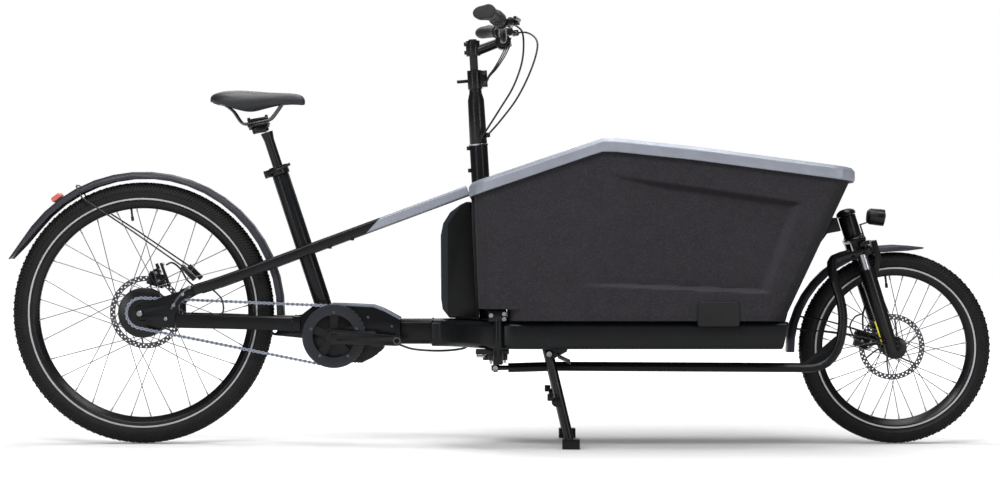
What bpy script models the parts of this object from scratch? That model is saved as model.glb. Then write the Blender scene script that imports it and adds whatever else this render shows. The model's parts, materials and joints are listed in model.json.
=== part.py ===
"""Long-john cargo bicycle: a rear-drive bicycle with a cargo box between the rider and a small,
linkage-steered front wheel. Metres, +X forward, +Y to the rider's left, +Z up. The origin is on
the ground, half way along the bicycle, in its middle plane."""

import math

import bmesh
import bpy
from mathutils import Matrix, Vector

for old_object in list(bpy.data.objects):
    bpy.data.objects.remove(old_object)

# ---------------------------------------------------------------- driving dimensions, in metres

REAR_WHEEL_RADIUS = 0.352
FRONT_WHEEL_RADIUS = 0.258
REAR_AXLE = Vector((-0.960, 0, REAR_WHEEL_RADIUS))
FRONT_AXLE = Vector((1.0627, 0, FRONT_WHEEL_RADIUS))
BOTTOM_BRACKET = Vector((-0.4445, 0, 0.290))
GAP = 0.0003

SEAT_TILT = math.radians(18.2)
SEAT_FOOT = Vector((-0.4783, 0, 0.3778))
SEAT_TUBE_LENGTH = 0.3640

STEERING_TILT = math.radians(3.3)
STEERING_FOOT = Vector((-0.0231, 0, 0.200))
HEAD_TUBE_TOP = 0.6075

FORK_TILT = math.radians(17.5)
FORK_FOOT = Vector((1.0460, 0, FRONT_WHEEL_RADIUS))
FORK_LEG_Y = 0.067

RAIL_Y = 0.250
RAIL_WIDTH = 0.040
RAIL_BOTTOM = 0.2634
RAIL_TOP = 0.3348
RAIL_FRONT = 0.753

REAR_ARM = 0.1080
FRONT_ARM = 0.1046
ARM_ANGLE = math.radians(6)
ROD_RADIUS = 0.0125
CHAIN_LINE = 0.048
SPROCKET_PITCH_RADIUS = 0.0406
CHAINRING_PITCH_RADIUS = 0.0809
CHAIN_HALF_HEIGHT = 0.0042

STAND_PIVOT = Vector((0.128, 0, 0.2506))
WHEEL_STEPS = 40

# ---------------------------------------------------------------- scene, materials and helpers

PARTS = bpy.data.collections.new("cargo_bicycle")
CUTTERS = bpy.data.collections.new("cutters")
for group in (PARTS, CUTTERS):
    bpy.context.scene.collection.children.link(group)


def paint(name, red, green, blue, roughness, metallic=0.0):
    material = bpy.data.materials.new(name)
    material.use_nodes = True
    shader = material.node_tree.nodes["Principled BSDF"]
    shader.inputs["Base Color"].default_value = (red, green, blue, 1)
    shader.inputs["Roughness"].default_value = roughness
    shader.inputs["Metallic"].default_value = metallic
    return material


def own(material, name):
    """A copy of a finish for one sub-part, so that each part keeps a material of its own."""
    copy = material.copy()
    copy.name = name
    return copy


FRAME_BLACK = paint("satin_black_frame", 0.012, 0.013, 0.015, 0.35)
SILVER_GREY = paint("satin_silver_grey", 0.33, 0.36, 0.41, 0.40, 0.3)
BOX_FOAM = paint("charcoal_foam", 0.042, 0.040, 0.044, 0.85)
RUBBER = paint("black_rubber", 0.020, 0.020, 0.021, 0.80)
BLACK_METAL = paint("black_anodised", 0.015, 0.015, 0.017, 0.40, 0.6)
STEEL = paint("bright_steel", 0.45, 0.45, 0.47, 0.30, 1.0)
PLASTIC = paint("black_plastic", 0.025, 0.025, 0.028, 0.50)
SLATE = paint("slate_plastic", 0.025, 0.027, 0.033, 0.45)
FENDER_GREY = paint("fender_grey", 0.058, 0.058, 0.070, 0.55)
RED_LENS = paint("red_lens", 0.45, 0.01, 0.01, 0.25)


def frame_at(origin, tilt):
    """Local X forward and Z up a rod that leans back by tilt, both in the middle plane."""
    return Matrix.Translation(origin) @ Matrix.Rotation(-tilt, 4, "Y")


def side_on(origin):
    """Local X forward, Y up and Z to the drive side, as for a wheel seen from that side."""
    return Matrix.Translation(origin) @ Matrix.Rotation(math.pi / 2, 4, "X")


def pivot(name, matrix):
    empty = bpy.data.objects.new(name, None)
    PARTS.objects.link(empty)
    empty.matrix_world = matrix
    return empty


def add(name, data, finish, parent=None, matrix=None):
    """A named object from a mesh or a curve, in its parent's frame or at a world matrix."""
    thing = bpy.data.objects.new(name, data)
    PARTS.objects.link(thing)
    if finish:
        data.materials.append(own(finish, name + "_finish"))
    if parent:
        thing.parent = parent
    if matrix:
        thing.matrix_local = matrix
    bpy.context.view_layer.update()
    return thing


def mesh_from(name, working, finish, parent=None, matrix=None):
    bmesh.ops.recalc_face_normals(working, faces=working.faces)
    mesh = bpy.data.meshes.new(name)
    working.to_mesh(mesh)
    working.free()
    mesh.shade_smooth()
    mesh.set_sharp_from_angle(angle=math.radians(35))
    return add(name, mesh, finish, parent, matrix)


def block(name, low, high, finish=None, parent=None):
    """A box between two corners."""
    working = bmesh.new()
    bmesh.ops.create_cube(working, size=1)
    low, high = Vector(low), Vector(high)
    bmesh.ops.scale(working, verts=working.verts, vec=high - low)
    bmesh.ops.translate(working, verts=working.verts, vec=(low + high) / 2)
    return mesh_from(name, working, finish, parent)


def bar(name, start, end, radius, finish=None, parent=None, sides=16, end_radius=None):
    """A round bar between two points."""
    start, end = Vector(start), Vector(end)
    working = bmesh.new()
    bmesh.ops.create_cone(
        working, cap_ends=True, segments=sides, radius1=radius,
        radius2=end_radius or radius, depth=(end - start).length)
    turn = Vector((0, 0, 1)).rotation_difference(end - start).to_matrix().to_4x4()
    place = Matrix.Translation((start + end) / 2) @ turn
    bmesh.ops.transform(working, matrix=place, verts=working.verts)
    return mesh_from(name, working, finish, parent)


def turned(name, profile, finish=None, parent=None, steps=24, matrix=None):
    """A closed profile of (radius, height) turned about local Z. It runs down the outer side,
    and a stretch of it that lies on the axis makes no surface."""
    mesh = bpy.data.meshes.new(name)
    count = len(profile)
    edges = [(i, (i + 1) % count) for i in range(count)]
    edges = [(i, j) for i, j in edges if profile[i][0] or profile[j][0]]
    mesh.from_pydata([(radius, 0, height) for radius, height in profile], edges, [])
    thing = add(name, mesh, finish, parent, matrix)
    screw = thing.modifiers.new("turn", "SCREW")
    screw.steps = screw.render_steps = steps
    screw.use_merge_vertices = True
    screw.merge_threshold = 1e-5
    screw.use_smooth_shade = True
    return thing


def ring(name, outer, inner, low, high, finish=None, parent=None, steps=24, matrix=None):
    profile = [(outer, high), (outer, low), (inner, low), (inner, high)]
    return turned(name, profile, finish, parent, steps, matrix)


def smooth_path(points, spans):
    """Points along a Catmull-Rom curve through the given ones, spans to each stretch."""
    points = [Vector(point) for point in points]
    ends = [2 * points[0] - points[1]] + points + [2 * points[-1] - points[-2]]
    path = []
    for a, b, c, d in zip(ends, ends[1:], ends[2:], ends[3:]):
        for step in range(spans):
            t = step / spans
            path.append(0.5 * (2 * b + (c - a) * t + (2 * a - 5 * b + 4 * c - d) * t**2
                               + (3 * b - a - 3 * c + d) * t**3))
    return path + [points[-1]]


def to_mesh(thing):
    """The object again, as a welded mesh in place of its curve."""
    graph = bpy.context.evaluated_depsgraph_get()
    mesh = bpy.data.meshes.new_from_object(thing.evaluated_get(graph))
    working = bmesh.new()
    working.from_mesh(mesh)
    bmesh.ops.remove_doubles(working, verts=working.verts, dist=1e-5)
    bmesh.ops.recalc_face_normals(working, faces=working.faces)
    working.to_mesh(mesh)
    working.free()
    name, parent, matrix = thing.name, thing.parent, thing.matrix_world.copy()
    bpy.data.objects.remove(thing)
    solid = bpy.data.objects.new(name, mesh)
    PARTS.objects.link(solid)
    solid.parent = parent
    solid.matrix_world = matrix
    bpy.context.view_layer.update()
    return solid


def tube(name, path, radius, finish=None, parent=None, roundness=2):
    """A round tube along a list of points."""
    curve = bpy.data.curves.new(name, "CURVE")
    curve.dimensions = "3D"
    curve.bevel_depth = radius
    curve.bevel_resolution = roundness
    curve.use_fill_caps = True
    spline = curve.splines.new("POLY")
    spline.points.add(len(path) - 1)
    for point, place in zip(spline.points, path):
        point.co = (*place, 1)
    return to_mesh(add(name, curve, finish, parent))


def plate(name, outline, low, high, finish=None, parent=None, holes=()):
    """A flat outline in local X and Y, as thick as from low to high along Z."""
    curve = bpy.data.curves.new(name, "CURVE")
    curve.dimensions = "2D"
    curve.fill_mode = "BOTH"
    curve.extrude = (high - low) / 2
    for points in (outline, *holes):
        spline = curve.splines.new("POLY")
        spline.points.add(len(points) - 1)
        spline.use_cyclic_u = True
        for point, (x, y) in zip(spline.points, points):
            point.co = (x, y, 0, 1)
    place = Matrix.Translation((0, 0, (low + high) / 2))
    return to_mesh(add(name, curve, finish, parent, place))


def side_plate(name, outline, y_low, y_high, finish=None, parent=None, holes=()):
    """A plate whose outline is in world X and Z, between two values of Y."""
    thing = plate(name, outline, -y_high, -y_low, finish, None, holes)
    thing.matrix_world = side_on((0, 0, 0)) @ thing.matrix_world
    if parent:
        world = thing.matrix_world.copy()
        thing.parent = parent
        thing.matrix_world = world
    bpy.context.view_layer.update()
    return thing


def loft(name, rows, finish=None, parent=None, closed=True, looped=False, wall=0.0):
    """A skin over rows of points. Closed rows get end caps unless the rows loop or the skin is
    given a wall, and an open skin always has one."""
    working = bmesh.new()
    grid = [[working.verts.new(point) for point in row] for row in rows]
    width = len(rows[0])
    pairs = list(zip(grid, grid[1:])) + ([(grid[-1], grid[0])] if looped else [])
    for below, above in pairs:
        for i in range(width if closed else width - 1):
            j = (i + 1) % width
            working.faces.new((below[i], below[j], above[j], above[i]))
    if closed and not looped:
        working.faces.new(grid[0])
        if not wall:
            working.faces.new(grid[-1])
    thing = mesh_from(name, working, finish, parent)
    if wall:
        shell = thing.modifiers.new("wall", "SOLIDIFY")
        shell.thickness = wall
        shell.use_even_offset = True
    return thing


def swept(name, path, width, height, finish=None, parent=None):
    """A rectangular tube with chamfered corners, its height upright, along a path."""
    chamfer = 0.22 * min(width, height)
    half_w, half_h = width / 2, height / 2
    outline = []
    for side, up in ((1, 1), (-1, 1), (-1, -1), (1, -1)):
        corner = [(side * half_w, up * (half_h - chamfer)), (side * (half_w - chamfer), up * half_h)]
        outline += corner if side * up > 0 else corner[::-1]
    path = [Vector(point) for point in path]
    rows = []
    for i, point in enumerate(path):
        along = (path[min(i + 1, len(path) - 1)] - path[max(i - 1, 0)]).normalized()
        across = Vector((0, 0, 1)).cross(along).normalized()
        rise = along.cross(across)
        rows.append([point + across * a + rise * b for a, b in outline])
    return loft(name, rows, finish, parent)


def hide(thing):
    PARTS.objects.unlink(thing)
    CUTTERS.objects.link(thing)
    thing.hide_render = True
    thing.display_type = "WIRE"


def combine(operation, target, *others):
    for other in others:
        hide(other)
        step = target.modifiers.new(operation.lower(), "BOOLEAN")
        step.operation = operation
        step.object = other
    return target


def fuse(target, *others):
    return combine("UNION", target, *others)


def cut(target, *others):
    return combine("DIFFERENCE", target, *others)


def mirrored(side, x, y, z):
    return Vector((x, side * y, z))


def arc(centre, radius, start, end, count):
    """Points (x, y) on a circle from one angle to another, in degrees."""
    angles = [math.radians(start + (end - start) * i / (count - 1)) for i in range(count)]
    return [(centre[0] + radius * math.cos(a), centre[1] + radius * math.sin(a)) for a in angles]


# ---------------------------------------------------------------- joint frames

STEERING = frame_at(STEERING_FOOT, STEERING_TILT)
FORK = frame_at(FORK_FOOT, FORK_TILT)
SEAT = frame_at(SEAT_FOOT, SEAT_TILT)
RIGHT, LEFT = -1, 1

seat_slide = pivot("seat_slide", SEAT)
steering_axis = pivot("steering_axis", STEERING)
fork_axis = pivot("fork_axis", FORK)
rear_wheel_axis = pivot("rear_wheel_axis", side_on(REAR_AXLE))
front_wheel_axis = pivot("front_wheel_axis", side_on(FRONT_AXLE))
crank_axis = pivot("crank_axis", side_on(BOTTOM_BRACKET))
stand_axis = pivot("stand_axis", Matrix.Translation(STAND_PIVOT))


# ---------------------------------------------------------------- wheels

def tyre_profile(radius, seat, half_width):
    """Tread, shoulders and walls down to a flat seat on the rim."""
    crown = [(1.0, 0.0), (0.95, 0.45), (0.76, 0.86), (0.40, 1.0), (0.0, 0.70)]
    depth = radius - seat
    upper = [(seat + depth * out, half_width * across) for out, across in reversed(crown)]
    lower = [(out, -across) for out, across in reversed(upper)]
    return upper + lower[1:]


def spoked_hub(name, flange, sleeve, flange_z, rim_radius, count, finish, parent):
    """A sleeve with two flanges and a crossed set of spokes, all one piece. Inner and outer
    spokes of a flange are a spoke's width apart, so that they pass each other."""
    body = turned(name, [
        (flange, flange_z + 0.0025), (flange, flange_z - 0.0025), (sleeve + 0.002, flange_z - 0.0025),
        (sleeve + 0.002, -flange_z + 0.0025), (flange, -flange_z + 0.0025),
        (flange, -flange_z - 0.0025), (sleeve, -flange_z - 0.0025), (sleeve, flange_z + 0.0025),
    ], finish, parent, 24)
    working = bmesh.new()
    cross = math.radians(360 / count * 5)
    for i in range(count):
        side = 1 if i % 2 else -1
        lean = 1 if (i // 2) % 2 else -1
        at_rim = math.radians(360 / count) * i
        at_hub = at_rim + lean * cross
        z_hub = side * (flange_z + lean * 0.0018)
        z_rim = side * 0.004
        start = Vector((math.cos(at_hub), math.sin(at_hub), 0)) * (flange - 0.003)
        end = Vector((math.cos(at_rim), math.sin(at_rim), 0)) * rim_radius
        start.z, end.z = z_hub, z_rim
        made = bmesh.ops.create_cone(
            working, cap_ends=True, segments=3, radius1=0.0012, radius2=0.0012,
            depth=(end - start).length)
        turn = Vector((0, 0, 1)).rotation_difference(end - start).to_matrix().to_4x4()
        bmesh.ops.transform(
            working, matrix=Matrix.Translation((start + end) / 2) @ turn, verts=made["verts"])
    return fuse(body, mesh_from(name + "_wires", working, None, parent))


def wheel(prefix, parent, radius, tyre_depth, half_width, rim_depth, hub):
    seat = radius - tyre_depth
    turned(prefix + "_tyre", tyre_profile(radius, seat, half_width), RUBBER, parent, WHEEL_STEPS)
    rim = seat - GAP
    half_rim = 0.6 * half_width
    turned(prefix + "_rim", [
        (rim, half_rim), (rim, -half_rim), (rim - rim_depth, -0.6 * half_rim),
        (rim - rim_depth, 0.6 * half_rim)], BLACK_METAL, parent, WHEEL_STEPS)
    reach = (rim - rim_depth) * math.cos(math.pi / WHEEL_STEPS) - 2 * GAP
    return spoked_hub(prefix + "_spokes", *hub, reach, 32, STEEL, parent)


wheel("rear", rear_wheel_axis, REAR_WHEEL_RADIUS, 0.0535, 0.0290, 0.0172, (0.066, 0.056, 0.024))
turned("rear_hub", [
    (0.0337, 0.0492), (0.0337, 0.0468), (0.026, 0.0468), (0.026, 0.040), (0.0557, 0.030),
    (0.0557, -0.030), (0.026, -0.042), (0.026, -0.0490), (0.0065, -0.0490), (0.0065, 0.0492),
], BLACK_METAL, rear_wheel_axis, 24)
ring("rear_brake_disc", 0.0985, 0.0265, -0.0470, -0.0450, STEEL, rear_wheel_axis, 24)

wheel("front", front_wheel_axis, FRONT_WHEEL_RADIUS, 0.0460, 0.0275, 0.0180, (0.030, 0.0105, 0.026))
front_hub = bpy.data.objects["front_spokes"]
fuse(front_hub, turned("front_hub_barrel", [
    (0.0125, 0.044), (0.0125, -0.044), (0.0058, -0.044), (0.0058, 0.044)], None, front_wheel_axis, 24))
ring("front_brake_disc", 0.0890, 0.0130, -0.0430, -0.0410, STEEL, front_wheel_axis, 24)

# ---------------------------------------------------------------- crank and chain

turned("chainring", [
    (CHAINRING_PITCH_RADIUS - CHAIN_HALF_HEIGHT - 0.0006, CHAIN_LINE + 0.0012),
    (CHAINRING_PITCH_RADIUS - CHAIN_HALF_HEIGHT - 0.0006, CHAIN_LINE - 0.0012),
    (0.0105, CHAIN_LINE - 0.0012), (0.0105, CHAIN_LINE + 0.0012)], BLACK_METAL, crank_axis, 32)
guard = ring("chainring_guard", 0.0850, 0.0565, 0.0556, 0.0590, SLATE, crank_axis, 32)
for index in range(5):
    at = Matrix.Rotation(math.radians(90 + 72 * index), 3, "Z") @ Vector((0.0640, 0, 0))
    fuse(guard, bar(f"guard_boss_{index}", at + Vector((0, 0, 0.0496)), at + Vector((0, 0, 0.0605)),
                    0.0050, None, crank_axis, 8))

ARM_LENGTH = 0.170
ARM_DROP = math.radians(3.8)


def crank_arm(name, side):
    """A forged arm, wide at the axle and narrow at the pedal eye."""
    heading = (0 if side == RIGHT else math.pi) - ARM_DROP
    near, far = -side * 0.0745, -side * 0.0905
    tip = Vector((math.cos(heading), math.sin(heading), 0)) * ARM_LENGTH
    outline = arc((0, 0), 0.019, math.degrees(heading) + 80, math.degrees(heading) + 280, 9)
    outline += arc(tip, 0.0135, math.degrees(heading) - 90, math.degrees(heading) + 90, 7)
    low, high = sorted((near, far))
    arm = plate(name, outline, low, high, BLACK_METAL, crank_axis)
    eye = bar(name + "_eye", tip + Vector((0, 0, low - 0.01)), tip + Vector((0, 0, high + 0.01)),
              0.0068, None, crank_axis)
    return cut(arm, eye)


right_arm = crank_arm("crank_arm_right", RIGHT)
cut(right_arm, bar("arm_socket", (0, 0, 0.07), (0, 0, 0.1), 0.0103, None, crank_axis))
left_arm = crank_arm("crank_arm_left", LEFT)
fuse(left_arm, bar("crank_spindle", (0, 0, -0.080), (0, 0, 0.0900), 0.0100, None, crank_axis))


def chain_loop():
    """The centre line of the chain, in X and Z: two arcs and the straight runs between them."""
    big, small = BOTTOM_BRACKET, REAR_AXLE
    reach = big - small
    lean = math.atan2(reach.z, reach.x)
    spread = math.acos((CHAINRING_PITCH_RADIUS - SPROCKET_PITCH_RADIUS) / reach.length)
    top = math.degrees(lean + math.pi - spread)
    bottom = math.degrees(lean - math.pi + spread)
    front = arc((big.x, big.z), CHAINRING_PITCH_RADIUS, bottom, top, 15)
    back = arc((small.x, small.z), SPROCKET_PITCH_RADIUS, top, bottom + 360, 11)
    return front + back


def chain():
    loop = chain_loop()
    rows = []
    for i, (x, z) in enumerate(loop):
        before, after = loop[i - 1], loop[(i + 1) % len(loop)]
        along = Vector((after[0] - before[0], 0, after[1] - before[1])).normalized()
        outward = Vector((along.z, 0, -along.x))
        centre = Vector((x, -CHAIN_LINE, z))
        rows.append([
            centre + outward * CHAIN_HALF_HEIGHT * out + Vector((0, 0.0040 * across, 0))
            for out, across in ((1, 1), (1, -1), (-1, -1), (-1, 1))])
    return loft("chain", rows, STEEL, looped=True)


chain()

# ---------------------------------------------------------------- rear frame

ring("seat_tube", 0.0230, 0.0145, 0.0045, SEAT_TUBE_LENGTH, FRAME_BLACK, None, 20, SEAT)

UPPER_TUBE_PATH = [
    (-0.8160, 0.0850, 0.4145), (-0.7590, 0.0800, 0.4319), (-0.6670, 0.0640, 0.4650),
    (-0.5883, 0.0480, 0.4942), (-0.4813, 0.0400, 0.5343), (-0.2682, 0.0330, 0.6129),
    (-0.1073, 0.0300, 0.6729), (-0.0860, 0.0300, 0.6808)]
for side, label in ((RIGHT, "right"), (LEFT, "left")):
    swept("upper_tube_" + label, [mirrored(side, *point) for point in UPPER_TUBE_PATH],
          0.0170, 0.0285, FRAME_BLACK)

CHAINSTAY_PATH = [
    (-0.8640, 0.0820, 0.3320), (-0.7600, 0.0760, 0.3300), (-0.6500, 0.0600, 0.3265),
    (-0.5545, 0.0580, 0.3240)]
DROPOUT_OUTLINE = [
    (-0.8225, 0.4270), (-0.8155, 0.4040), (-0.8440, 0.3885), (-0.8560, 0.3750), (-0.8560, 0.3500),
    (-0.8660, 0.3500), (-0.8660, 0.3130), (-0.9080, 0.3150), (-0.9280, 0.3320), (-0.9450, 0.3360),
    (-0.9600, 0.3330), (-0.9730, 0.3400), (-0.9780, 0.3540), (-0.9700, 0.3680), (-0.9000, 0.3960),
    (-0.8620, 0.4080)]
for side, label in ((RIGHT, "right"), (LEFT, "left")):
    stay = swept("chainstay_" + label, [mirrored(side, *point) for point in CHAINSTAY_PATH],
                 0.0220, 0.0370, FRAME_BLACK)
    y_low, y_high = sorted((side * 0.0740, side * 0.0860))
    fuse(stay, side_plate("dropout_" + label, DROPOUT_OUTLINE, y_low, y_high))
    lug = swept("stay_lug_" + label, [
        mirrored(side, -0.8500, 0.0880, 0.4041), mirrored(side, -0.8167, 0.0851, 0.4143)],
        0.0150, 0.0240)
    fuse(stay, lug)
right_stay = bpy.data.objects["chainstay_right"]
left_stay = bpy.data.objects["chainstay_left"]
AXLE_RADIUS = 0.0060
cut(right_stay, bar("axle_hole", REAR_AXLE - Vector((0, 0.10, 0)), REAR_AXLE - Vector((0, 0.06, 0)),
                    AXLE_RADIUS + GAP))
fuse(left_stay, bar("axle_rod", REAR_AXLE - Vector((0, 0.091, 0)), REAR_AXLE + Vector((0, 0.080, 0)),
                    AXLE_RADIUS))

CRADLE_HALF = 0.040
cradle = side_plate("motor_cradle", [
    (-0.5535, 0.3435), (-0.5330, 0.3470), (-0.5000, 0.3720), (-0.4553, 0.3765), (-0.3401, 0.3722),
    (-0.3133, 0.3629), (-0.2678, 0.3380), (-0.2678, 0.2680), (-0.3120, 0.2680), (-0.3350, 0.3055),
    (-0.5535, 0.3055)], -CRADLE_HALF, CRADLE_HALF, FRAME_BLACK)
fuse(cradle, block("stay_yoke", (-0.5534, -0.0710, 0.3056), (-0.5340, 0.0710, 0.3434)))
motor = side_plate("drive_motor", [
    (-0.5050, 0.3052), (-0.3356, 0.3052), (-0.3128, 0.2677), (-0.3133, 0.2600), (-0.3300, 0.2400),
    (-0.3600, 0.2235), (-0.3950, 0.2186), (-0.4400, 0.2220), (-0.4850, 0.2350), (-0.5050, 0.2620)],
    -0.0385, 0.0385, PLASTIC)
cut(motor, bar("spindle_hole", BOTTOM_BRACKET - Vector((0, 0.06, 0)),
               BOTTOM_BRACKET + Vector((0, 0.06, 0)), 0.0110))

# ---------------------------------------------------------------- cargo frame

swept("main_beam", [(-0.2675, 0, 0.3020), (-0.0600, 0, 0.3020)], 0.0480, 0.0680, FRAME_BLACK)

RAIL_MID = (RAIL_BOTTOM + RAIL_TOP) / 2
RAIL_BEND = [
    (-0.1820, 0.0448), (-0.1500, 0.0510), (-0.1200, 0.0760), (-0.0900, 0.1150), (-0.0650, 0.1540),
    (-0.0400, 0.1930), (-0.0120, 0.2260), (0.0240, 0.2450), (0.0600, RAIL_Y), (0.7600, RAIL_Y)]
for side, label in ((RIGHT, "right"), (LEFT, "left")):
    rail = swept("cargo_rail_" + label, [(x, side * y, RAIL_MID) for x, y in RAIL_BEND],
                 RAIL_WIDTH, RAIL_TOP - RAIL_BOTTOM, FRAME_BLACK)
    y_low, y_high = sorted((side * 0.20, side * 0.30))
    cut(rail, side_plate("rail_nose_" + label, [
        (RAIL_FRONT, 0.3400), (0.7800, 0.3400), (0.7800, 0.2550), (0.7335, 0.2550)], y_low, y_high))

CROSS_HALF = RAIL_Y - RAIL_WIDTH / 2 - 0.0005
block("rear_crossmember", (0.0650, -CROSS_HALF, 0.2760), (0.1000, CROSS_HALF, 0.3280), FRAME_BLACK)
gooseneck = block("gooseneck", (0.6900, -CROSS_HALF, 0.2780), (0.7280, CROSS_HALF, 0.3280), FRAME_BLACK)
fuse(gooseneck, side_plate("gooseneck_spine", [
    (0.7000, 0.2790), (0.7600, 0.2790), (0.7640, 0.3150), (0.7760, 0.3600), (0.8180, 0.4500),
    (0.8580, 0.5350), (0.8800, 0.5650), (0.9170, 0.5720), (0.9060, 0.6080), (0.8700, 0.6060),
    (0.8420, 0.5780), (0.8180, 0.5330), (0.7780, 0.4500), (0.7360, 0.3650), (0.7200, 0.3270),
    (0.7000, 0.3270)], -0.0250, 0.0250))
ring("front_head_tube", 0.0240, 0.0165, 0.3110, 0.3720, FRAME_BLACK, None, 20, FORK)
cut(gooseneck, turned("head_tube_room", [
    (0, 0.3900), (0.0243, 0.3900), (0.0243, 0.2900), (0, 0.2900)], None, None, 20, FORK))

head_tube = ring("steering_head_tube", 0.0243, 0.0165, 0.0620, HEAD_TUBE_TOP, FRAME_BLACK, None, 20,
                 STEERING)
beam = bpy.data.objects["main_beam"]
cut(beam, turned("steering_room", [
    (0, 0.30), (0.0246, 0.30), (0.0246, 0.01), (0, 0.01)], None, None, 20, STEERING))
for side, label in ((RIGHT, "right"), (LEFT, "left")):
    tube_end = bpy.data.objects["upper_tube_" + label]
    cut(tube_end, turned("upper_room_" + label, [
        (0, 0.60), (0.0246, 0.60), (0.0246, 0.40), (0, 0.40)], None, None, 20, STEERING))

# ---------------------------------------------------------------- battery under its cover

cover = side_plate("battery_cover", [
    (-0.0770, 0.6500), (-0.0900, 0.6500), (-0.1050, 0.6430), (-0.1332, 0.6220), (-0.1520, 0.5920),
    (-0.1585, 0.5600), (-0.1575, 0.3920), (-0.1535, 0.3630), (-0.1350, 0.3395), (-0.0620, 0.3395)],
    -0.0680, 0.0680, SLATE)
cut(cover, side_plate("battery_room", [
    (-0.0500, 0.6440), (-0.0915, 0.6440), (-0.1020, 0.6380), (-0.1290, 0.6180), (-0.1465, 0.5900),
    (-0.1525, 0.5590), (-0.1515, 0.3920), (-0.1480, 0.3660), (-0.1320, 0.3455), (-0.0500, 0.3455)],
    -0.0620, 0.0620))
side_plate("battery", [
    (-0.0830, 0.6400), (-0.0905, 0.6400), (-0.1000, 0.6340), (-0.1260, 0.6140), (-0.1435, 0.5880),
    (-0.1495, 0.5580), (-0.1485, 0.3920), (-0.1450, 0.3680), (-0.1300, 0.3500), (-0.0830, 0.3500)],
    -0.0450, 0.0450, PLASTIC)

# ---------------------------------------------------------------- cargo box and its rim

FLOOR_Z = 0.3374
STEP_Z = 0.3686
STEP_X = 0.0195
PEAK_X = 0.2650


def wall_top(x):
    """Height of the box wall: it climbs to a peak behind the middle and falls to the front."""
    rise = 0.6625 + 0.340 * (x + 0.067)
    fall = 0.7795 - 0.132 * (x - 0.300)
    return min(rise, fall, 0.7745 - 0.02 * (x - 0.27))


def front_x(z):
    return 0.7404 + 0.486 * (z - FLOOR_Z)


def half_width(z):
    return 0.285 + 0.085 * (z - FLOOR_Z)


def box_plan(z, rear_x, out=0.0, follow_top=False):
    """The box seen from above at one height, from the middle of the back round the right side,
    the front and the left side. The back is hollowed for the steering tube and the front for
    the gooseneck; out moves the whole line outwards."""
    front, side = front_x(z) + out, half_width(z) + out
    rear = rear_x - out
    corner = 0.050 + out
    hollow = max(0.0080, rear_x) - out
    dent = front - 0.024
    half = [(hollow, 0.0), (hollow, 0.0440 - out), (rear, 0.0540 - out)]
    half += [(x, y) for x, y in arc((rear + corner, side - corner), corner, 180, 90, 5)]
    half += [(x, side) for x in (0.110, 0.235, PEAK_X, 0.300, 0.500)]
    half += [(x, y) for x, y in arc((front - corner, side - corner), corner, 90, 0, 5)]
    half += [(front, 0.0400 - out), (dent, 0.0330 - out), (dent, 0.0)]
    right = [(x, -y) for x, y in half]
    left = [(x, y) for x, y in half[1:-1]]
    loop = right + left[::-1]
    return [Vector((x, y, wall_top(x) if follow_top else z)) for x, y in loop]


WALL = 0.0120
BACK_LOW, BACK_TOP = -0.0560, -0.0670
outer_rows = [
    box_plan(FLOOR_Z, STEP_X), box_plan(STEP_Z - 0.0010, STEP_X), box_plan(STEP_Z, BACK_LOW),
    box_plan(0.6820, BACK_TOP, follow_top=True)]
inner_rows = [
    box_plan(0.6820, BACK_TOP, -WALL, follow_top=True), box_plan(STEP_Z + WALL, BACK_LOW, -WALL),
    box_plan(STEP_Z + WALL - 0.0010, STEP_X, -WALL), box_plan(FLOOR_Z + WALL, STEP_X, -WALL)]
loft("cargo_box", outer_rows + inner_rows, BOX_FOAM)

RIM_HEIGHT = 0.0350
RIM_PROFILE = [(0.012, 0.0), (0.014, 0.004), (0.014, 0.026), (0.006, RIM_HEIGHT),
               (-0.012, RIM_HEIGHT), (-0.020, 0.026), (-0.020, 0.0)]
rim_lines = []
for out, height in RIM_PROFILE:
    line = box_plan(0.6820, BACK_TOP, out, follow_top=True)
    rim_lines.append([point + Vector((0, 0, height + 0.0008)) for point in line])
loft("box_rim", rim_lines, SILVER_GREY, looped=True)

# ---------------------------------------------------------------- rear fender, stay and light

SKIRT = [(-1.0, -0.0190), (-1.0, -0.0070), (-0.80, -0.0010), (-0.40, 0.0), (0.40, 0.0),
         (0.80, -0.0010), (1.0, -0.0070), (1.0, -0.0190)]


def fender(name, centre, radius, start, end, half_width_y, tip, tip_flare, parent=None, frame=None):
    """A mudguard along an arc. The last part at the tip end narrows its skirt and flares out."""
    rows = []
    count = max(8, round(abs(end - start) / 8))
    for i in range(count + 1):
        angle = math.radians(start + (end - start) * i / count)
        distance = abs(math.degrees(angle) - tip)
        near_tip = max(0.0, 1.0 - distance / 12)
        row = []
        for across, depth in SKIRT:
            reach = radius + tip_flare * near_tip**2 + depth * (1 - 0.75 * near_tip)
            row.append(Vector((centre.x + reach * math.cos(angle), across * half_width_y,
                               centre.z + reach * math.sin(angle))))
        rows.append(row)
    if frame:
        inverse = frame.inverted()
        rows = [[inverse @ point for point in row] for row in rows]
    return loft(name, rows, FENDER_GREY, parent, closed=False, wall=0.0018)


REAR_FENDER_RADIUS = 0.380
fender("rear_fender", REAR_AXLE, REAR_FENDER_RADIUS, -1, 158, 0.035, 158, 0.0090)


def from_rear_axle(radius, degrees, y):
    angle = math.radians(degrees)
    return (REAR_AXLE.x + radius * math.cos(angle), y, REAR_AXLE.z + radius * math.sin(angle))


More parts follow.
